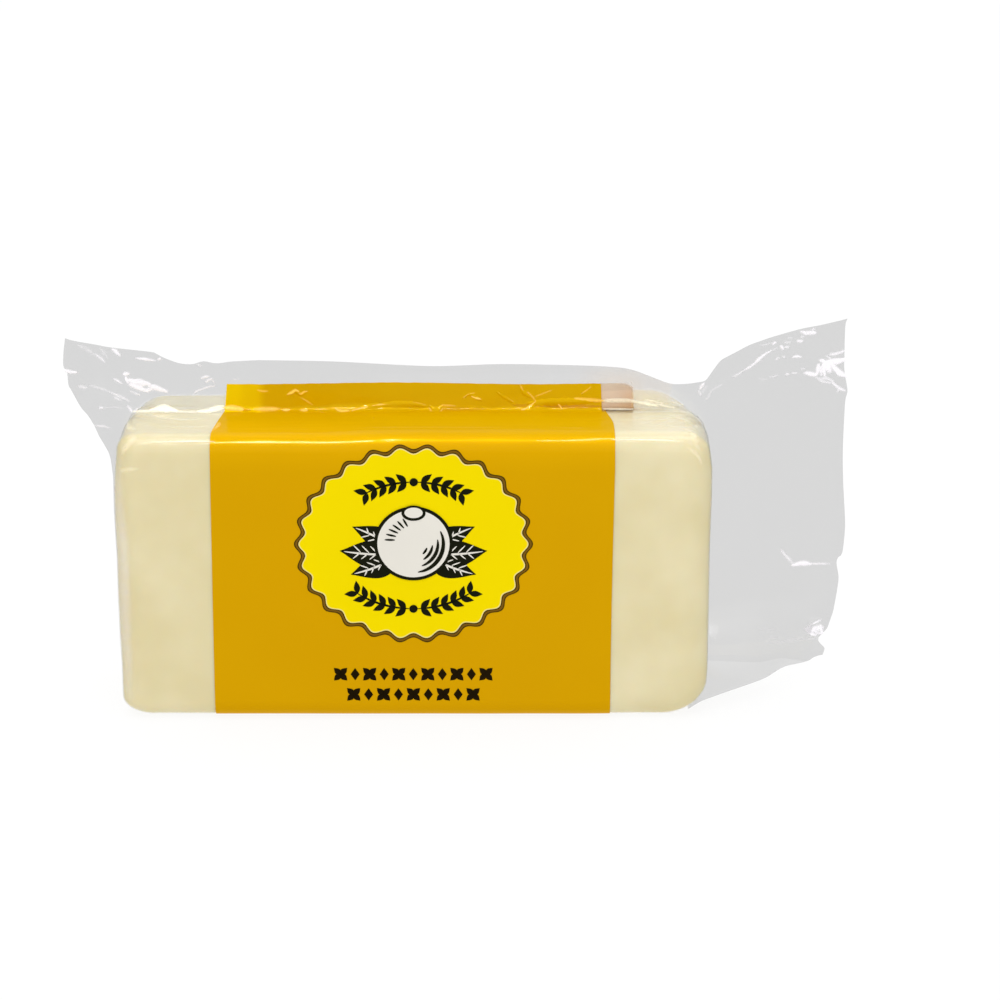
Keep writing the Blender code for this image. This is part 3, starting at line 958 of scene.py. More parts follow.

# Painted shade on the printed fin, under its folds, (width, strength, line).
BAND_PAINTED_SHADE = (
    (0.9, 0.55, ((31.0, 73.1), (36.0, 73.0), (41.0, 72.95), (46.4, 72.9))),
    (0.8, 0.35, ((24.6, 73.2), (28.0, 73.0), (32.0, 73.1))),
    (0.6, 0.4, ((-42.4, 72.1), (-41.4, 72.1), (-40.2, 72.1))),
    (0.9, 0.2, ((4.0, 72.6), (8.0, 72.2), (13.0, 72.2), (18.0, 72.3))),
)

# Folds that stand up on the printed fin, (width, height, line through (x, z)).
BAND_RIDGES = (
    (1.0, 0.20, ((-31.1, 75.7), (-29.2, 76.7), (-27.7, 75.8), (-26.2, 76.6))),
    (1.5, 0.25, ((-15.1, 71.9), (-12.6, 72.5), (-9.3, 73.1), (-5.8, 73.3))),
    (1.7, 0.30, ((-9.4, 73.1), (-4.7, 73.4), (0.6, 73.3), (3.4, 72.8))),
    (1.2, 0.25, ((3.8, 73.1), (5.5, 72.2), (7.4, 73.1))),
    (0.9, 0.18, ((12.4, 75.1), (13.9, 75.9), (15.6, 75.0), (17.0, 74.2))),
    (0.9, 0.15, ((20.4, 76.7), (22.7, 75.0), (24.8, 73.8))),
    (1.0, 0.18, ((26.4, 78.0), (27.2, 76.4), (29.2, 75.0))),
    (1.2, 0.22, ((26.7, 72.2), (28.9, 72.8), (30.4, 74.0))),
    (2.0, 0.35, ((27.6, 73.6), (33.0, 73.9), (40.0, 74.1), (45.9, 74.2))),
)


# ---------------------------------------------------------------- print on the film

def front_point(u, v, offset):
    """Point just off the printed front, u to the right and v up from the underside."""
    return skin_point(u, -BAR_DEPTH / 2, v - BAR_HEIGHT / 2, offset)


SEAL_MIDDLE = (0.3, 44.3)
SEAL_HALF = (28.1, 24.2)
SEAL_WAVES = 26
SEAL_WAVE_DEPTH = 0.72

# Rings of the seal from its rim inwards, (inset, ink): brown, olive, brown and pale lines,
# then the yellow field.
SEAL_RINGS = ((0.0, 1), (0.28, 2), (0.78, 1), (1.08, 3), (1.38, 0), (2.4, 0), (4.2, 0))
FIELD_RINGS = 9


def seal_ring(inset, scale, count):
    """Points of the seal's waved rim, moved in by inset and drawn towards the middle."""
    ring = []
    for k in range(count):
        turn = 2 * math.pi * k / count
        ripple = SEAL_WAVE_DEPTH * math.cos(SEAL_WAVES * turn) - inset
        u = SEAL_MIDDLE[0] + scale * (SEAL_HALF[0] + ripple) * math.cos(turn)
        v = SEAL_MIDDLE[1] + scale * (SEAL_HALF[1] + ripple) * math.sin(turn)
        ring.append(front_point(u, v, INK_STEP))
    return ring


def make_seal(sheet):
    """The yellow seal in rings: waved rim, pale line and field."""
    count = SEAL_WAVES * 12
    rings = [(seal_ring(inset, 1.0, count), ink) for inset, ink in SEAL_RINGS]
    for k in range(1, FIELD_RINGS):
        rings.append((seal_ring(SEAL_RINGS[-1][0], 1.0 - k / FIELD_RINGS, count), 0))
    for (outer, ink), (inner, _) in zip(rings, rings[1:]):
        sheet.add_grid([outer, inner], ink=ink, flip=True, closed=True)
    middle = sheet.add_point(front_point(*SEAL_MIDDLE, INK_STEP))
    ring = [sheet.add_point(point) for point in rings[-1][0]]
    for k in range(count):
        sheet.add_face((ring[k], ring[(k + 1) % count], middle))


def ink_shape(sheet, outline, layer, ink=0):
    """A flat printed shape on the front, from its outline (u, v) anticlockwise."""
    flat = [Vector((u, v, 0.0)) for u, v in outline]
    points = [sheet.add_point(front_point(u, v, INK_STEP * (1 + layer))) for u, v in outline]
    for a, b, c in tessellate_polygon([flat]):
        turn = (flat[b] - flat[a]).cross(flat[c] - flat[a]).z
        corners = (a, b, c) if turn > 0 else (c, b, a)
        sheet.add_face([points[k] for k in corners], ink)


def ink_line(sheet, points, width, layer, ink=0):
    """A printed stroke along a smooth line, thin at both ends."""
    run = smooth_run(points, 0.5)
    rows = []
    for k, (u, v) in enumerate(run):
        across_u, across_v = across_line(run, k)
        half = width / 2 * taper(k, len(run), 0.3, 0.5)
        rows.append([
            front_point(u + across_u * reach, v + across_v * reach, INK_STEP * (1 + layer))
            for reach in (half, -half)
        ])
    sheet.add_grid(rows, ink=ink)


def polar(middle, radii, turn):
    """Point on an ellipse round the middle."""
    return middle[0] + radii[0] * math.cos(turn), middle[1] + radii[1] * math.sin(turn)


def disc(middle, radii, count):
    """Outline of a round or oval shape."""
    return [polar(middle, radii, 2 * math.pi * k / count) for k in range(count)]


def leaf(start, angle, length, width, bend=0.0, count=18):
    """Outline of a pointed leaf and the line of its middle rib."""
    def place(share, side):
        u = length * share
        v = side * width / 2 * math.sin(math.pi * share ** 0.8) ** 1.1
        v += bend * length * math.sin(math.pi * share)
        c, s = math.cos(angle), math.sin(angle)
        return start[0] + c * u - s * v, start[1] + s * u + c * v
    lower = [place(k / count, -1.0) for k in range(count + 1)]
    upper = [place(k / count, 1.0) for k in range(count - 1, 0, -1)]
    vein = [place(share, 0.0) for share in (0.08, 0.3, 0.55, 0.8, 0.93)]
    return lower + upper, vein


def make_garland(sheet, middle, centre, reach, radii, count, size):
    """Two sprigs that bend outward from a berry, with pairs of small leaves."""
    for side in (-1.0, 1.0):
        turns = [math.radians(centre + side * reach * k / 16) for k in range(1, 17)]
        ink_line(sheet, [polar(middle, radii, turn) for turn in turns], 0.55, 1)
        for k in range(count):
            turn = centre + side * blend(5.0, reach - 1.0, k / (count - 1))
            start = polar(middle, radii, math.radians(turn))
            ahead = math.radians(turn + side * 90.0)
            for lean in (0.75, -0.75):
                outline, _ = leaf(start, ahead + lean, size, 0.46 * size, 0.0, 12)
                ink_shape(sheet, outline, 1)
    berry = polar(middle, radii, math.radians(centre))
    ink_shape(sheet, disc(berry, (1.0, 1.0), 24), 2)


def make_motif(sheet):
    """A round cheese on a spray of leaves, with a garland above and below it."""
    middle = (SEAL_MIDDLE[0], SEAL_MIDDLE[1] + 0.2)
    dark, pale = 0, 1
    for side in (-1.0, 1.0):
        for tilt, reach, width, bend in (
            (30.0, 13.6, 5.8, 0.05), (-23.0, 13.2, 6.2, -0.05), (3.0, 14.8, 7.2, -0.03),
        ):
            angle = math.radians(tilt if side > 0 else 180.0 - tilt)
            start = (middle[0] + side * 3.0, middle[1] - 2.6)
            outline, vein = leaf(start, angle, reach, width, bend * side)
            ink_shape(sheet, outline, 1, dark)
            ink_line(sheet, vein, 0.5, 2, pale)
            for share in (0.36, 0.52, 0.68):
                at = [blend(a, b, share) for a, b in zip(vein[0], vein[-1])]
                for lean in (0.75, -0.75):
                    tip = polar(at, (0.34 * width, 0.34 * width), angle + lean)
                    ink_line(sheet, (at, tip), 0.32, 2, pale)
    stalk = (middle[0], middle[1] + 7.6)
    ink_shape(sheet, disc(middle, (9.5, 9.2), 64), 3, dark)
    ink_shape(sheet, disc(middle, (8.7, 8.4), 64), 4, pale)
    ink_shape(sheet, disc(stalk, (2.9, 1.9), 32), 5, dark)
    ink_shape(sheet, disc((stalk[0], stalk[1] + 0.1), (2.2, 1.3), 32), 6, pale)
    for k, (low, high, reach) in enumerate((
        (-1.42, 0.45, 7.2), (-1.22, 0.18, 5.9), (-1.02, -0.08, 4.6), (-0.85, -0.3, 3.4),
    )):
        line = [polar(middle, (reach, reach), blend(low, high, s / 8)) for s in range(9)]
        ink_line(sheet, line, 1.0 - 0.14 * k, 5, dark)
    for k in range(6):
        turn = math.radians(108.0 + 12.0 * k)
        ends = (polar(middle, (4.6, 4.5), turn), polar(middle, (7.0, 6.7), turn + 0.06))
        ink_line(sheet, ends, 0.5, 5, dark)
    make_garland(sheet, middle, 90.0, 35.0, (20.0, 15.2), 5, 3.3)
    make_garland(sheet, middle, 270.0, 41.0, (21.0, 16.4), 6, 3.3)


def make_rules(sheet):
    """Two rows of small ornaments under the seal: four-leaved stars and lozenges."""
    for v, count, step in ((11.4, 11, 3.55), (6.2, 9, 3.65)):
        for k in range(count):
            u = 0.2 + (k - (count - 1) / 2) * step
            if k % 2:
                ink_shape(sheet, ((u + 1.1, v), (u, v + 1.6), (u - 1.1, v), (u, v - 1.6)), 0)
                continue
            for quarter in range(4):
                outline, _ = leaf((u, v), math.radians(45.0 + 90.0 * quarter), 2.3, 1.5, 0.0, 10)
                ink_shape(sheet, outline, 0)


# ---------------------------------------------------------------- materials

def linear(value):
    """An sRGB hex colour as linear numbers."""
    parts = [int(value[k:k + 2], 16) / 255 for k in (1, 3, 5)]
    return (*(p / 12.92 if p <= 0.04045 else ((p + 0.055) / 1.055) ** 2.4 for p in parts), 1.0)


def add(tree, kind, sockets=None, stops=(), **settings):
    """Adds a node with its settings, and a ramp with its (place, colour) stops in rising
    order, and sets or links its sockets."""
    made = tree.nodes.new(kind)
    for name, value in settings.items():
        setattr(made, name, value)
    for k, (place, colour) in enumerate(stops):
        ramp = made.color_ramp.elements
        stop = ramp[k] if k < 2 else ramp.new(place)
        stop.position = place
        stop.color = colour
    for name, value in (sockets or {}).items():
        if isinstance(value, bpy.types.NodeSocket):
            tree.links.new(value, made.inputs[name])
        else:
            made.inputs[name].default_value = value
    return made


def new_material(name):
    """An empty material, its node tree, and the place in the piece's own space."""
    made = bpy.data.materials.new(name)
    made.use_nodes = True
    tree = made.node_tree
    tree.nodes.clear()
    return made, tree, add(tree, "ShaderNodeTexCoord").outputs["Object"]


# Real sizes of the patterns, in metres: cloudy patches, stretched fibres and fine grain of
# the curd; wrinkles of the film, drawn as coarse as they need to show, and the breaks along
# its painted glints; clouds and ripples of the printed film.
CURD_CLOUDS = 0.019
CURD_FIBRES = (0.030, 0.004, 0.004)
CURD_GRAIN = 0.0012
FILM_WRINKLES = 0.0035
GLINT_BREAKS = 0.0006
INK_CLOUDS = 0.022
INK_RIPPLES = (0.012, 0.0016, 0.006)

CHEESE_DEEP = "#E2D6AA"
CHEESE_PALE = "#EAE0BA"


def pasta_filata_cheese():
    """Stretched-curd cheese: close, moist and slightly see-through, so that light sinks in
    and comes out soft, with faint cloudy patches where the curd is denser."""
    made, tree, place = new_material("pasta_filata_cheese")
    clouds = add(tree, "ShaderNodeTexNoise", {
        "Vector": place, "Scale": 1 / CURD_CLOUDS, "Detail": 3.0, "Roughness": 0.55})
    stretched = add(tree, "ShaderNodeMapping", {
        "Vector": place, "Scale": [1 / size for size in CURD_FIBRES]})
    fibres = add(tree, "ShaderNodeTexNoise", {
        "Vector": stretched.outputs["Vector"], "Scale": 1.0, "Detail": 4.0})
    colour = add(
        tree, "ShaderNodeValToRGB", {"Fac": clouds.outputs["Fac"]},
        stops=((0.35, linear(CHEESE_DEEP)), (0.68, linear(CHEESE_PALE))))
    grain = add(tree, "ShaderNodeTexNoise", {
        "Vector": place, "Scale": 1 / CURD_GRAIN, "Detail": 3.0})
    rough = add(tree, "ShaderNodeMapRange", {
        "Value": fibres.outputs["Fac"], "To Min": 0.42, "To Max": 0.58})
    soft = add(tree, "ShaderNodeBump", {
        "Height": fibres.outputs["Fac"], "Strength": 0.25, "Distance": 0.0003})
    fine = add(tree, "ShaderNodeBump", {
        "Height": grain.outputs["Fac"], "Strength": 0.12, "Distance": 0.0001,
        "Normal": soft.outputs["Normal"]})
    shader = add(tree, "ShaderNodeBsdfPrincipled", {
        "Base Color": colour.outputs["Color"], "Roughness": rough.outputs["Result"],
        "IOR": 1.40, "Specular IOR Level": 0.15, "Subsurface Weight": 0.35,
        "Subsurface Radius": (1.0, 0.72, 0.38), "Subsurface Scale": 0.0035,
        "Normal": fine.outputs["Normal"]})
    add(tree, "ShaderNodeOutputMaterial", {"Surface": shader.outputs["BSDF"]})
    return made


def clear_film(name, clearness, gloss, roughness, wrinkle):
    """PE/PA vacuum film: clear and glossy where it lies close before the cheese, a little
    grey where it hangs free, with small wrinkles that break up what it mirrors.

    clearness is how much light passes where it lies close and where it hangs free, gloss
    how much it mirrors seen face on and edge on.
    """
    made, tree, place = new_material(name)
    free = add(tree, "ShaderNodeAttribute", attribute_name="amount")
    passed = add(tree, "ShaderNodeMapRange", {
        "Value": free.outputs["Fac"], "To Min": clearness[0], "To Max": clearness[1]})
    pass_through = add(tree, "ShaderNodeBsdfTransparent", {"Color": passed.outputs["Result"]})
    wrinkles = add(tree, "ShaderNodeTexNoise", {
        "Vector": place, "Scale": 1 / FILM_WRINKLES, "Detail": 2.0, "Roughness": 0.5})
    bump = add(tree, "ShaderNodeBump", {
        "Height": wrinkles.outputs["Fac"], "Strength": wrinkle, "Distance": 0.0003})
    mirror = add(tree, "ShaderNodeBsdfPrincipled", {
        "Base Color": (1.0, 1.0, 1.0, 1.0), "Metallic": 1.0, "Roughness": roughness,
        "Normal": bump.outputs["Normal"]})
    facing = add(tree, "ShaderNodeLayerWeight", {"Blend": 0.5})
    steep = add(tree, "ShaderNodeMath", {
        0: facing.outputs["Facing"], 1: 4.5}, operation="POWER")
    mirrored = add(tree, "ShaderNodeMapRange", {
        "Value": steep.outputs["Value"], "To Min": gloss[0], "To Max": gloss[1]})
    both = add(tree, "ShaderNodeMixShader", {
        0: mirrored.outputs["Result"], 1: pass_through.outputs["BSDF"],
        2: mirror.outputs["BSDF"]})
    add(tree, "ShaderNodeOutputMaterial", {"Surface": both.outputs["Shader"]})
    return made


def painted_stroke_film(name, colour):
    """Film with strokes of one colour painted on it, laid over it by each point's amount and
    broken into lines: painted glints, highlights and shade, and a thin ink haze. Each stroke
    also glows a little by its own emission, a painted glow for light from its other side."""
    made, tree, place = new_material(name)
    painted_amount = add(tree, "ShaderNodeAttribute", attribute_name="amount")
    breaks = add(tree, "ShaderNodeTexNoise", {
        "Vector": place, "Scale": 1 / GLINT_BREAKS, "Detail": 2.0})
    share = add(tree, "ShaderNodeMapRange", {
        "Value": breaks.outputs["Fac"], "From Min": 0.3, "From Max": 0.65,
        "To Min": 0.90, "To Max": 1.08})
    amount = add(tree, "ShaderNodeMath", {
        0: painted_amount.outputs["Fac"], 1: share.outputs["Result"]},
        operation="MULTIPLY", use_clamp=True)
    bump = add(tree, "ShaderNodeBump", {
        "Height": breaks.outputs["Fac"], "Strength": 0.3, "Distance": 0.0001})
    shader = add(tree, "ShaderNodeBsdfPrincipled", {
        "Base Color": linear(colour), "Roughness": 0.35, "Specular IOR Level": 0.3,
        "Emission Color": linear(colour), "Emission Strength": 0.40,
        "Alpha": amount.outputs["Value"], "Normal": bump.outputs["Normal"]})
    add(tree, "ShaderNodeOutputMaterial", {"Surface": shader.outputs["BSDF"]})
    return made


# Painted sheen on the amber, lighter up the front to a band along its upper edge and
# yellower on top, (height in metres, factor), and the colour of a single layer of it.
AMBER_PAINTED_SHEEN = (
    (0.050, (0.885, 0.865, 1.0, 1.0)), (0.062, (0.90, 0.89, 1.0, 1.0)),
    (0.0685, (0.99, 0.99, 1.0, 1.0)), (0.0702, (1.12, 1.14, 1.0, 1.0)),
    (0.0714, (0.92, 0.98, 1.0, 1.0)), (0.0725, (0.95, 1.08, 1.0, 1.0)),
    (0.0790, (0.93, 1.06, 1.0, 1.0)),
)
TONES_SPAN = 0.1
PALER_AMBER = "#F4D000"


def printed_ink(name, colour, shade, tones=(), soft_edge=False):
    """Gravure ink under glossy film: strong even colour with a faint cloudiness from the
    ink's density and a thin clear gloss over it. With tones, painted sheen lightens and
    darkens the colour with height; the print's amount makes it paler, or fades it out at a soft
    edge."""
    made, tree, place = new_material(name)
    density = add(tree, "ShaderNodeTexNoise", {
        "Vector": place, "Scale": 1 / INK_CLOUDS, "Detail": 2.0})
    mixed = add(tree, "ShaderNodeMix", {
        "Factor": density.outputs["Fac"], "A": linear(colour), "B": linear(shade)},
        data_type="RGBA")
    if tones:
        height = add(tree, "ShaderNodeSeparateXYZ", {"Vector": place})
        share = add(tree, "ShaderNodeMapRange", {
            "Value": height.outputs["Z"], "From Max": TONES_SPAN})
        tone = add(
            tree, "ShaderNodeValToRGB", {"Fac": share.outputs["Result"]},
            stops=[(level / TONES_SPAN, factor) for level, factor in tones])
        mixed = add(tree, "ShaderNodeMix", {
            "Factor": 1.0, "A": mixed.outputs["Result"], "B": tone.outputs["Color"]},
            data_type="RGBA", blend_type="MULTIPLY")
    if tones and not soft_edge:
        paler = add(tree, "ShaderNodeAttribute", attribute_name="amount")
        mixed = add(tree, "ShaderNodeMix", {
            "Factor": paler.outputs["Fac"], "A": mixed.outputs["Result"],
            "B": linear(PALER_AMBER)}, data_type="RGBA")
    drawn = add(tree, "ShaderNodeMapping", {
        "Vector": place, "Scale": [1 / size for size in INK_RIPPLES]})
    ripples = add(tree, "ShaderNodeTexNoise", {
        "Vector": drawn.outputs["Vector"], "Scale": 1.0, "Detail": 2.0})
    bump = add(tree, "ShaderNodeBump", {
        "Height": ripples.outputs["Fac"], "Strength": 0.4, "Distance": 0.00006})
    shader = add(tree, "ShaderNodeBsdfPrincipled", {
        "Base Color": mixed.outputs["Result"], "Metallic": 0.08, "Roughness": 0.30,
        "Specular IOR Level": 0.0, "Coat Weight": 0.05, "Coat IOR": 2.2,
        "Coat Roughness": 0.07, "Normal": bump.outputs["Normal"]})
    if soft_edge:
        cover = add(tree, "ShaderNodeAttribute", attribute_name="amount")
        tree.links.new(cover.outputs["Fac"], shader.inputs["Alpha"])
    add(tree, "ShaderNodeOutputMaterial", {"Surface": shader.outputs["BSDF"]})
    return made


# The peach's patches and how far they shift its tones, and between which places of its
# slant it goes from brownish to pale, in metres.
PEACH_PATCHES = 0.006
PEACH_SHIFT = 0.003
PEACH_LOW = 0.0415
PEACH_HIGH = 0.0525


def reverse_print():
    """The back sheet's print seen from its inner side: the white and amber layers show
    through the film as a soft peach, paler towards the upper left and browner below."""
    made, tree, place = new_material("gravure_reverse")
    slant = add(tree, "ShaderNodeVectorMath", {
        0: place, 1: (-0.6, 0.0, 1.0)}, operation="DOT_PRODUCT")
    uneven = add(tree, "ShaderNodeTexNoise", {"Vector": place, "Scale": 1 / PEACH_PATCHES})
    shifted = add(tree, "ShaderNodeMath", {
        0: uneven.outputs["Fac"], 1: PEACH_SHIFT, 2: slant.outputs["Value"]},
        operation="MULTIPLY_ADD")
    height = add(tree, "ShaderNodeMapRange", {
        "Value": shifted.outputs["Value"], "From Min": PEACH_LOW, "From Max": PEACH_HIGH})
    colour = add(
        tree, "ShaderNodeValToRGB", {"Fac": height.outputs["Result"]},
        stops=((0.0, linear("#EABC90")), (0.25, linear("#EFC9A6")),
               (0.45, linear("#F2D6BE")), (1.0, linear("#FBEBD8"))))
    amount = add(tree, "ShaderNodeAttribute", attribute_name="amount")
    shader = add(tree, "ShaderNodeBsdfPrincipled", {
        "Base Color": colour.outputs["Color"], "Roughness": 0.5, "Specular IOR Level": 0.1,
        "Alpha": amount.outputs["Fac"]})
    add(tree, "ShaderNodeOutputMaterial", {"Surface": shader.outputs["BSDF"]})
    return made


# ---------------------------------------------------------------- the pack

film_tight = clear_film("pe_pa_film_tight", (0.99, 0.99), (0.035, 0.80), 0.26, 0.25)
film_loose = clear_film("pe_pa_film_loose", (0.985, 0.854), (0.045, 0.60), 0.16, 0.12)
# Strokes painted on the film: white painted glints, cream and gold painted highlights, dark amber
# painted shade and a warm ink haze, each with a faint painted glow.
glint_white_film = painted_stroke_film("pe_pa_film_painted_white_glints", "#DCD9DD")
highlight_cream_film = painted_stroke_film("pe_pa_film_painted_highlights_over_cheese", "#F4EDD6")
highlight_gold_film = painted_stroke_film("pe_pa_film_painted_highlights_over_print", "#F5CC58")
film_hazed = painted_stroke_film("ink_haze_on_film", "#ECDAC6")
shade_painted_film = painted_stroke_film("painted_shade_under_print_folds", "#BE8600")
# The amber carries a painted sheen by height, lightest along its upper front edge.
amber_ink = printed_ink("gravure_amber", "#E3AD00", "#E0A800", AMBER_PAINTED_SHEEN)
amber_faded_ink = printed_ink(
    "gravure_amber_faded", "#E3AD00", "#E0A800", AMBER_PAINTED_SHEEN, soft_edge=True)
yellow_ink = printed_ink("gravure_yellow", "#F7DF00", "#F2D700")
rim_ink = printed_ink("gravure_brown", "#443309", "#3C2C06")
olive_ink = printed_ink("gravure_olive", "#7C5A18", "#765416")
pale_ink = printed_ink("gravure_pale_line", "#F0DC8C", "#EBD684")
black_ink = printed_ink("gravure_black", "#14160C", "#1B1D10")
white_ink = printed_ink("gravure_white", "#ECE8DE", "#E4E0D6")
ornament_ink = printed_ink("gravure_dark_brown", "#150E03", "#241906")
reverse_ink = reverse_print()

cheese = Sheet()
cheese_lines = (
    axis_lines(BAR_LENGTH, END_ROUND, 8, 1.7),
    axis_lines(BAR_DEPTH, EDGE_ROUND, 6, 1.5),
    axis_lines(BAR_HEIGHT, EDGE_ROUND, 6, 1.6),
)
cover_box(cheese_lines, cheese_point, lambda x, y, z: cheese)
cheese_bar = cheese.make("cheese_bar", [pasta_filata_cheese()])

skin = Sheet()
band = Sheet()
skin_lines = (
    axis_lines(BAR_LENGTH, END_ROUND, 10, 0.9, BAND_HALF, 1.1),
    axis_lines(BAR_DEPTH, EDGE_ROUND, 8, 0.7),
    axis_lines(BAR_HEIGHT, EDGE_ROUND, 8, 1.5),
)
cover_box(skin_lines, skin_point, lambda x, y, z: band if abs(x) < BAND_HALF else skin)

loose = Sheet()
foot = Sheet()
lining = Sheet()
fin = Sheet()
fin_back = Sheet()
haze = Sheet()
ribs = make_loose_film(loose, foot, fin, fin_back, lining, haze)
close_foot(foot, ribs)
for width, height, line in BAND_RIDGES:
    standing_fold(fin, line, width, height)
# Painted glints, highlights, sheen and shade, laid on the film as strokes.
glint_sheet = Sheet()
make_painted_strokes(glint_sheet, FLAP_GLINTS + CRUMPLED_FLAP_GLINTS + CRUMPLED_CORNER_GLINTS + EAR_GLINTS + CRUMPLED_EAR_GLINTS, 0.28)
skin_painted_stroke(glint_sheet, *LEFT_EDGE_SHEEN, 0.35)
cream_highlight_sheet = Sheet()
make_painted_strokes(cream_highlight_sheet, ROOT_HIGHLIGHTS, 0.28)
for fold in SKIN_HIGHLIGHTS:
    skin_painted_stroke(cream_highlight_sheet, *fold, 0.22)
gold_highlight_sheet = Sheet()
make_painted_strokes(gold_highlight_sheet, BAND_HIGHLIGHTS, 0.30, 0.15)
skin_painted_stroke(gold_highlight_sheet, *BAND_CORNER_HIGHLIGHT, 0.10)
shade_sheet = Sheet()
make_painted_strokes(shade_sheet, BAND_PAINTED_SHADE, 0.05, 0.05)

film_skin = skin.make("film_skin", [film_tight])
film_skirt = loose.make("film_skirt", [film_loose])
film_foot = foot.make("film_foot", [film_loose])
painted_glints = glint_sheet.make("painted_glints", [glint_white_film])
root_painted_highlights = cream_highlight_sheet.make("root_painted_highlights", [highlight_cream_film])
printed_band = band.make("printed_band", [amber_ink])
printed_fin = fin.make("printed_fin", [amber_ink])
print_haze = haze.make("print_haze", [film_hazed])
printed_fin_back = fin_back.make("printed_fin_back", [amber_faded_ink])
print_reverse = lining.make("print_reverse", [reverse_ink])
band_painted_highlights = gold_highlight_sheet.make("band_painted_highlights", [highlight_gold_film])
band_painted_shade = shade_sheet.make("band_painted_shade", [shade_painted_film])

seal = Sheet()
make_seal(seal)
seal_print = seal.make(
    "seal_print", [yellow_ink, rim_ink, olive_ink, pale_ink])
motif = Sheet()
make_motif(motif)
seal_motif = motif.make("seal_motif", [black_ink, white_ink])
rules = Sheet()
make_rules(rules)
band_rules = rules.make("band_rules", [ornament_ink])

for piece in (cheese_bar, film_skin, film_skirt, film_foot, printed_band, printed_fin,
              printed_fin_back):
    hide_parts(PACK_NODE)

# ---------------------------------------------------------------- studio

# The paper: its colour, how far it reaches, how far below the pack's underside it lies,
# and the size of its tooth.
FLOOR_COLOUR = "#F7F7F7"
FLOOR_REACH = 6.0
FLOOR_DROP = 0.0006
PAPER_TOOTH = 0.002

# How bright the surround lights the pack, from the horizon and from overhead.
WORLD_LEVEL = 1.04
WORLD_TOP = 1.65


def studio_floor():
    """Pale paper under the pack, lit from below so that only a faint shadow stays."""
    mesh = bpy.data.meshes.new("floor")
    corners = [((2 * i - 1) * FLOOR_REACH, (2 * j - 1) * FLOOR_REACH, 0.0) for i, j in CELL]
    mesh.from_pydata(corners, [], [(0, 1, 2, 3)])
    floor = bpy.data.objects.new("floor", mesh)
    bpy.context.scene.collection.objects.link(floor)
    made, tree, place = new_material("matt_backlit_paper")
    tooth = add(tree, "ShaderNodeTexNoise", {"Vector": place, "Scale": 1 / PAPER_TOOTH})
    bump = add(tree, "ShaderNodeBump", {
        "Height": tooth.outputs["Fac"], "Strength": 0.1, "Distance": 0.0001})
    shader = add(tree, "ShaderNodeBsdfPrincipled", {
        "Base Color": linear("#606060"), "Roughness": 0.9, "Specular IOR Level": 0.0,
        "Emission Color": linear(FLOOR_COLOUR), "Emission Strength": 0.95,
        "Normal": bump.outputs["Normal"]})
    add(tree, "ShaderNodeOutputMaterial", {"Surface": shader.outputs["BSDF"]})
    mesh.materials.append(made)
    floor.location.z = -FLOOR_DROP
    floor.visible_glossy = False


def lamp(name, place, aim, size, radiance, takers=None):
    """A rectangular studio lamp at place, turned to aim, of an even radiance. With takers
    it is seen only in their gloss, and else it lights everything and no gloss shows it."""
    data = bpy.data.lights.new(name, "AREA")
    data.shape = "RECTANGLE"
    data.size, data.size_y = size
    data.energy = radiance * size[0] * size[1] * math.pi
    made = bpy.data.objects.new(name, data)
    made.location = place
    made.rotation_euler = (Vector(aim) - Vector(place)).to_track_quat("-Z", "Y").to_euler()
    made.visible_diffuse = takers is None
    made.visible_glossy = takers is not None
    made.visible_camera = False
    if takers is not None:
        made.light_linking.receiver_collection = takers
    bpy.context.scene.collection.objects.link(made)


def gloss_takers(name, *pieces):
    """A collection of the pieces that one set of lamps is mirrored in."""
    made = bpy.data.collections.new(name)
    for piece in pieces:
        made.objects.link(piece)
    return made


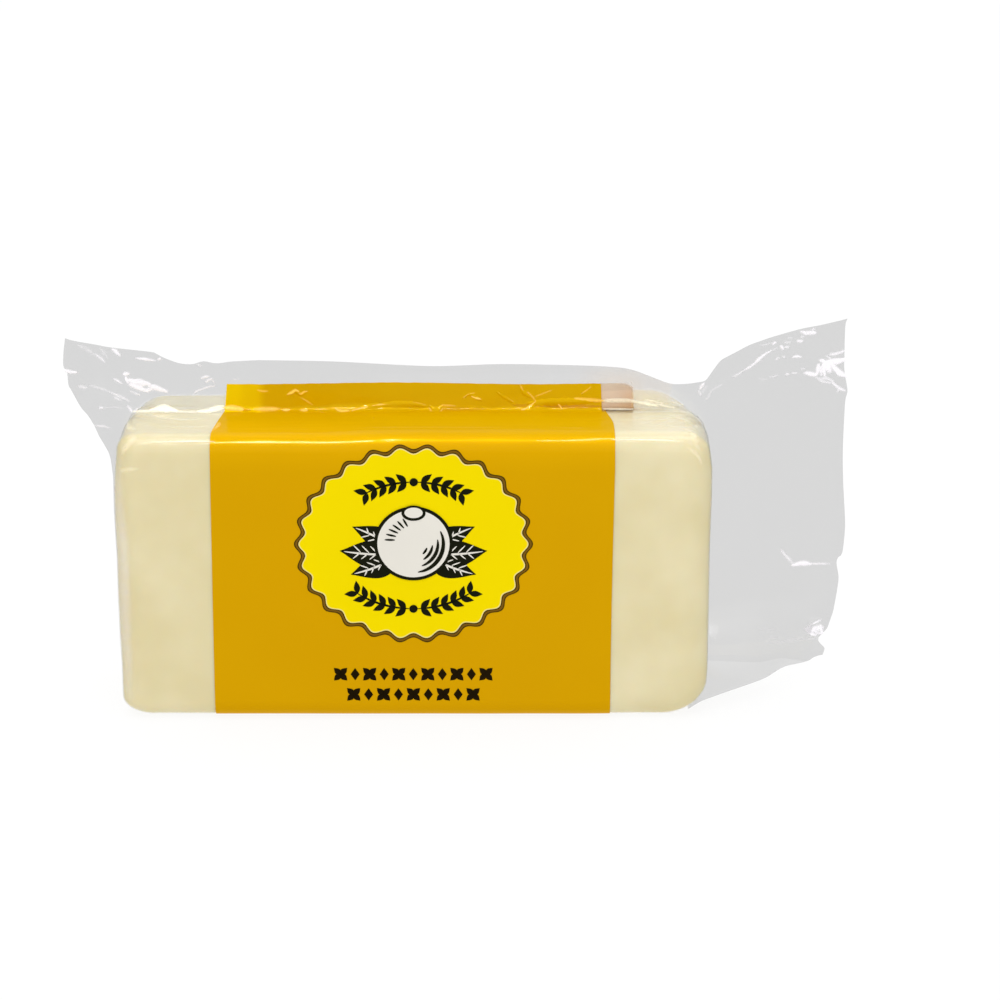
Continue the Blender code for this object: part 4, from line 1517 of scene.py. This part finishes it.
def studio_world():
    """A white surround, which lights the pack more from overhead and less from the sides.
    The gloss sees it white behind the pack and darker in front, darkest below."""
    world = bpy.data.worlds.new("studio")
    world.use_nodes = True
    tree = world.node_tree
    tree.nodes.clear()
    rays = add(tree, "ShaderNodeLightPath")
    way = add(tree, "ShaderNodeTexCoord").outputs["Generated"]
    height = add(tree, "ShaderNodeSeparateXYZ", {"Vector": way})
    sideways = add(tree, "ShaderNodeMath", {0: height.outputs["X"]}, operation="ABSOLUTE")
    lighting = add(tree, "ShaderNodeMapRange", {
        "Value": height.outputs["Z"], "To Min": WORLD_LEVEL, "To Max": WORLD_TOP})
    dimmer = add(tree, "ShaderNodeMapRange", {
        "Value": sideways.outputs["Value"], "From Min": 0.2, "To Min": 1.0, "To Max": 0.1})
    lighting = add(tree, "ShaderNodeMath", {
        0: lighting.outputs["Result"], 1: dimmer.outputs["Result"]}, operation="MULTIPLY")
    mirrored = add(tree, "ShaderNodeMapRange", {
        "Value": height.outputs["Z"], "From Min": -0.10, "From Max": 0.35,
        "To Min": 0.16, "To Max": 0.45})
    behind = add(tree, "ShaderNodeMapRange", {
        "Value": height.outputs["Y"], "From Min": -0.1, "From Max": 0.6,
        "To Min": 0.15, "To Max": 1.0})
    brighter = add(tree, "ShaderNodeMath", {
        0: mirrored.outputs["Result"], 1: behind.outputs["Result"]}, operation="MAXIMUM")
    darker = add(tree, "ShaderNodeMapRange", {
        "Value": sideways.outputs["Value"], "From Min": 0.15, "From Max": 0.8,
        "To Min": 1.0, "To Max": 0.32})
    brighter = add(tree, "ShaderNodeMath", {
        0: brighter.outputs["Value"], 1: darker.outputs["Result"]}, operation="MULTIPLY")
    gloss = add(tree, "ShaderNodeMix", {
        "Factor": rays.outputs["Is Glossy Ray"], "A": lighting.outputs["Value"],
        "B": brighter.outputs["Value"]})
    seen = add(tree, "ShaderNodeMix", {
        "Factor": rays.outputs["Is Camera Ray"], "A": gloss.outputs["Result"], "B": 1.0})
    back = add(tree, "ShaderNodeBackground", {
        "Color": (1.0, 1.0, 1.0, 1.0), "Strength": seen.outputs["Result"]})
    add(tree, "ShaderNodeOutputWorld", {"Surface": back.outputs["Background"]})
    bpy.context.scene.world = world


studio_floor()
studio_world()
film_takers = gloss_takers(
    "takes_film_gloss", cheese_bar, film_skin, painted_glints, root_painted_highlights, print_reverse,
    band_painted_highlights)
print_takers = gloss_takers(
    "takes_print_gloss", printed_band, printed_fin, seal_print, seal_motif, band_rules)
TOP_AIM = (0.0, 0.0, 0.07)
lamp("key", (-0.10, -0.75, 0.95), (0.0, 0.0, 0.05), (1.0, 0.7), 1.14)
lamp("overhead_panel", (0.0, -0.10, 0.95), TOP_AIM, (1.2, 0.30), 4.2, film_takers)
lamp("back_panel", (0.0, 0.42, 0.80), TOP_AIM, (1.2, 0.40), 0.9, film_takers)

# Strips that the film mirrors as a bright line along the pack's upper front edge, from
# low to high in x and forward of the pack.
STRIP_HEIGHT = 0.86
STRIP_WIDTH = 0.10
for name, low, high, forward, radiance, takers in (
    ("film_strip_left", -0.150, -0.060, 0.50, 28.0, film_takers),
    ("film_strip_right", 0.045, 0.104, 0.42, 20.0, film_takers),
    ("print_strip_left", -0.150, -0.055, 0.32, 60.0, print_takers),
    ("print_strip_fade", -0.055, -0.036, 0.32, 14.0, print_takers),
    ("print_strip_inner", 0.039, 0.059, 0.32, 22.0, print_takers),
    ("print_strip_right", 0.059, 0.104, 0.32, 38.0, print_takers),
):
    middle = (low + high) / 2
    lamp(name, (middle, -forward, STRIP_HEIGHT), (middle, 0.0, TOP_AIM[2]),
         (high - low, STRIP_WIDTH), radiance, takers)

CAMERA_PLACE = (0.0214, -0.7910, 0.2462)
CAMERA_DOWN = math.radians(14.0)
CAMERA_LENS = 117.86
camera_data = bpy.data.cameras.new("camera")
camera_data.sensor_width = 36.0
camera_data.lens = CAMERA_LENS
camera = bpy.data.objects.new("camera", camera_data)
camera.location = CAMERA_PLACE
camera.rotation_euler = (math.radians(90.0) - CAMERA_DOWN, 0.0, 0.0)
bpy.context.scene.collection.objects.link(camera)
bpy.context.scene.camera = camera
bpy.context.scene.view_settings.view_transform = "Standard"
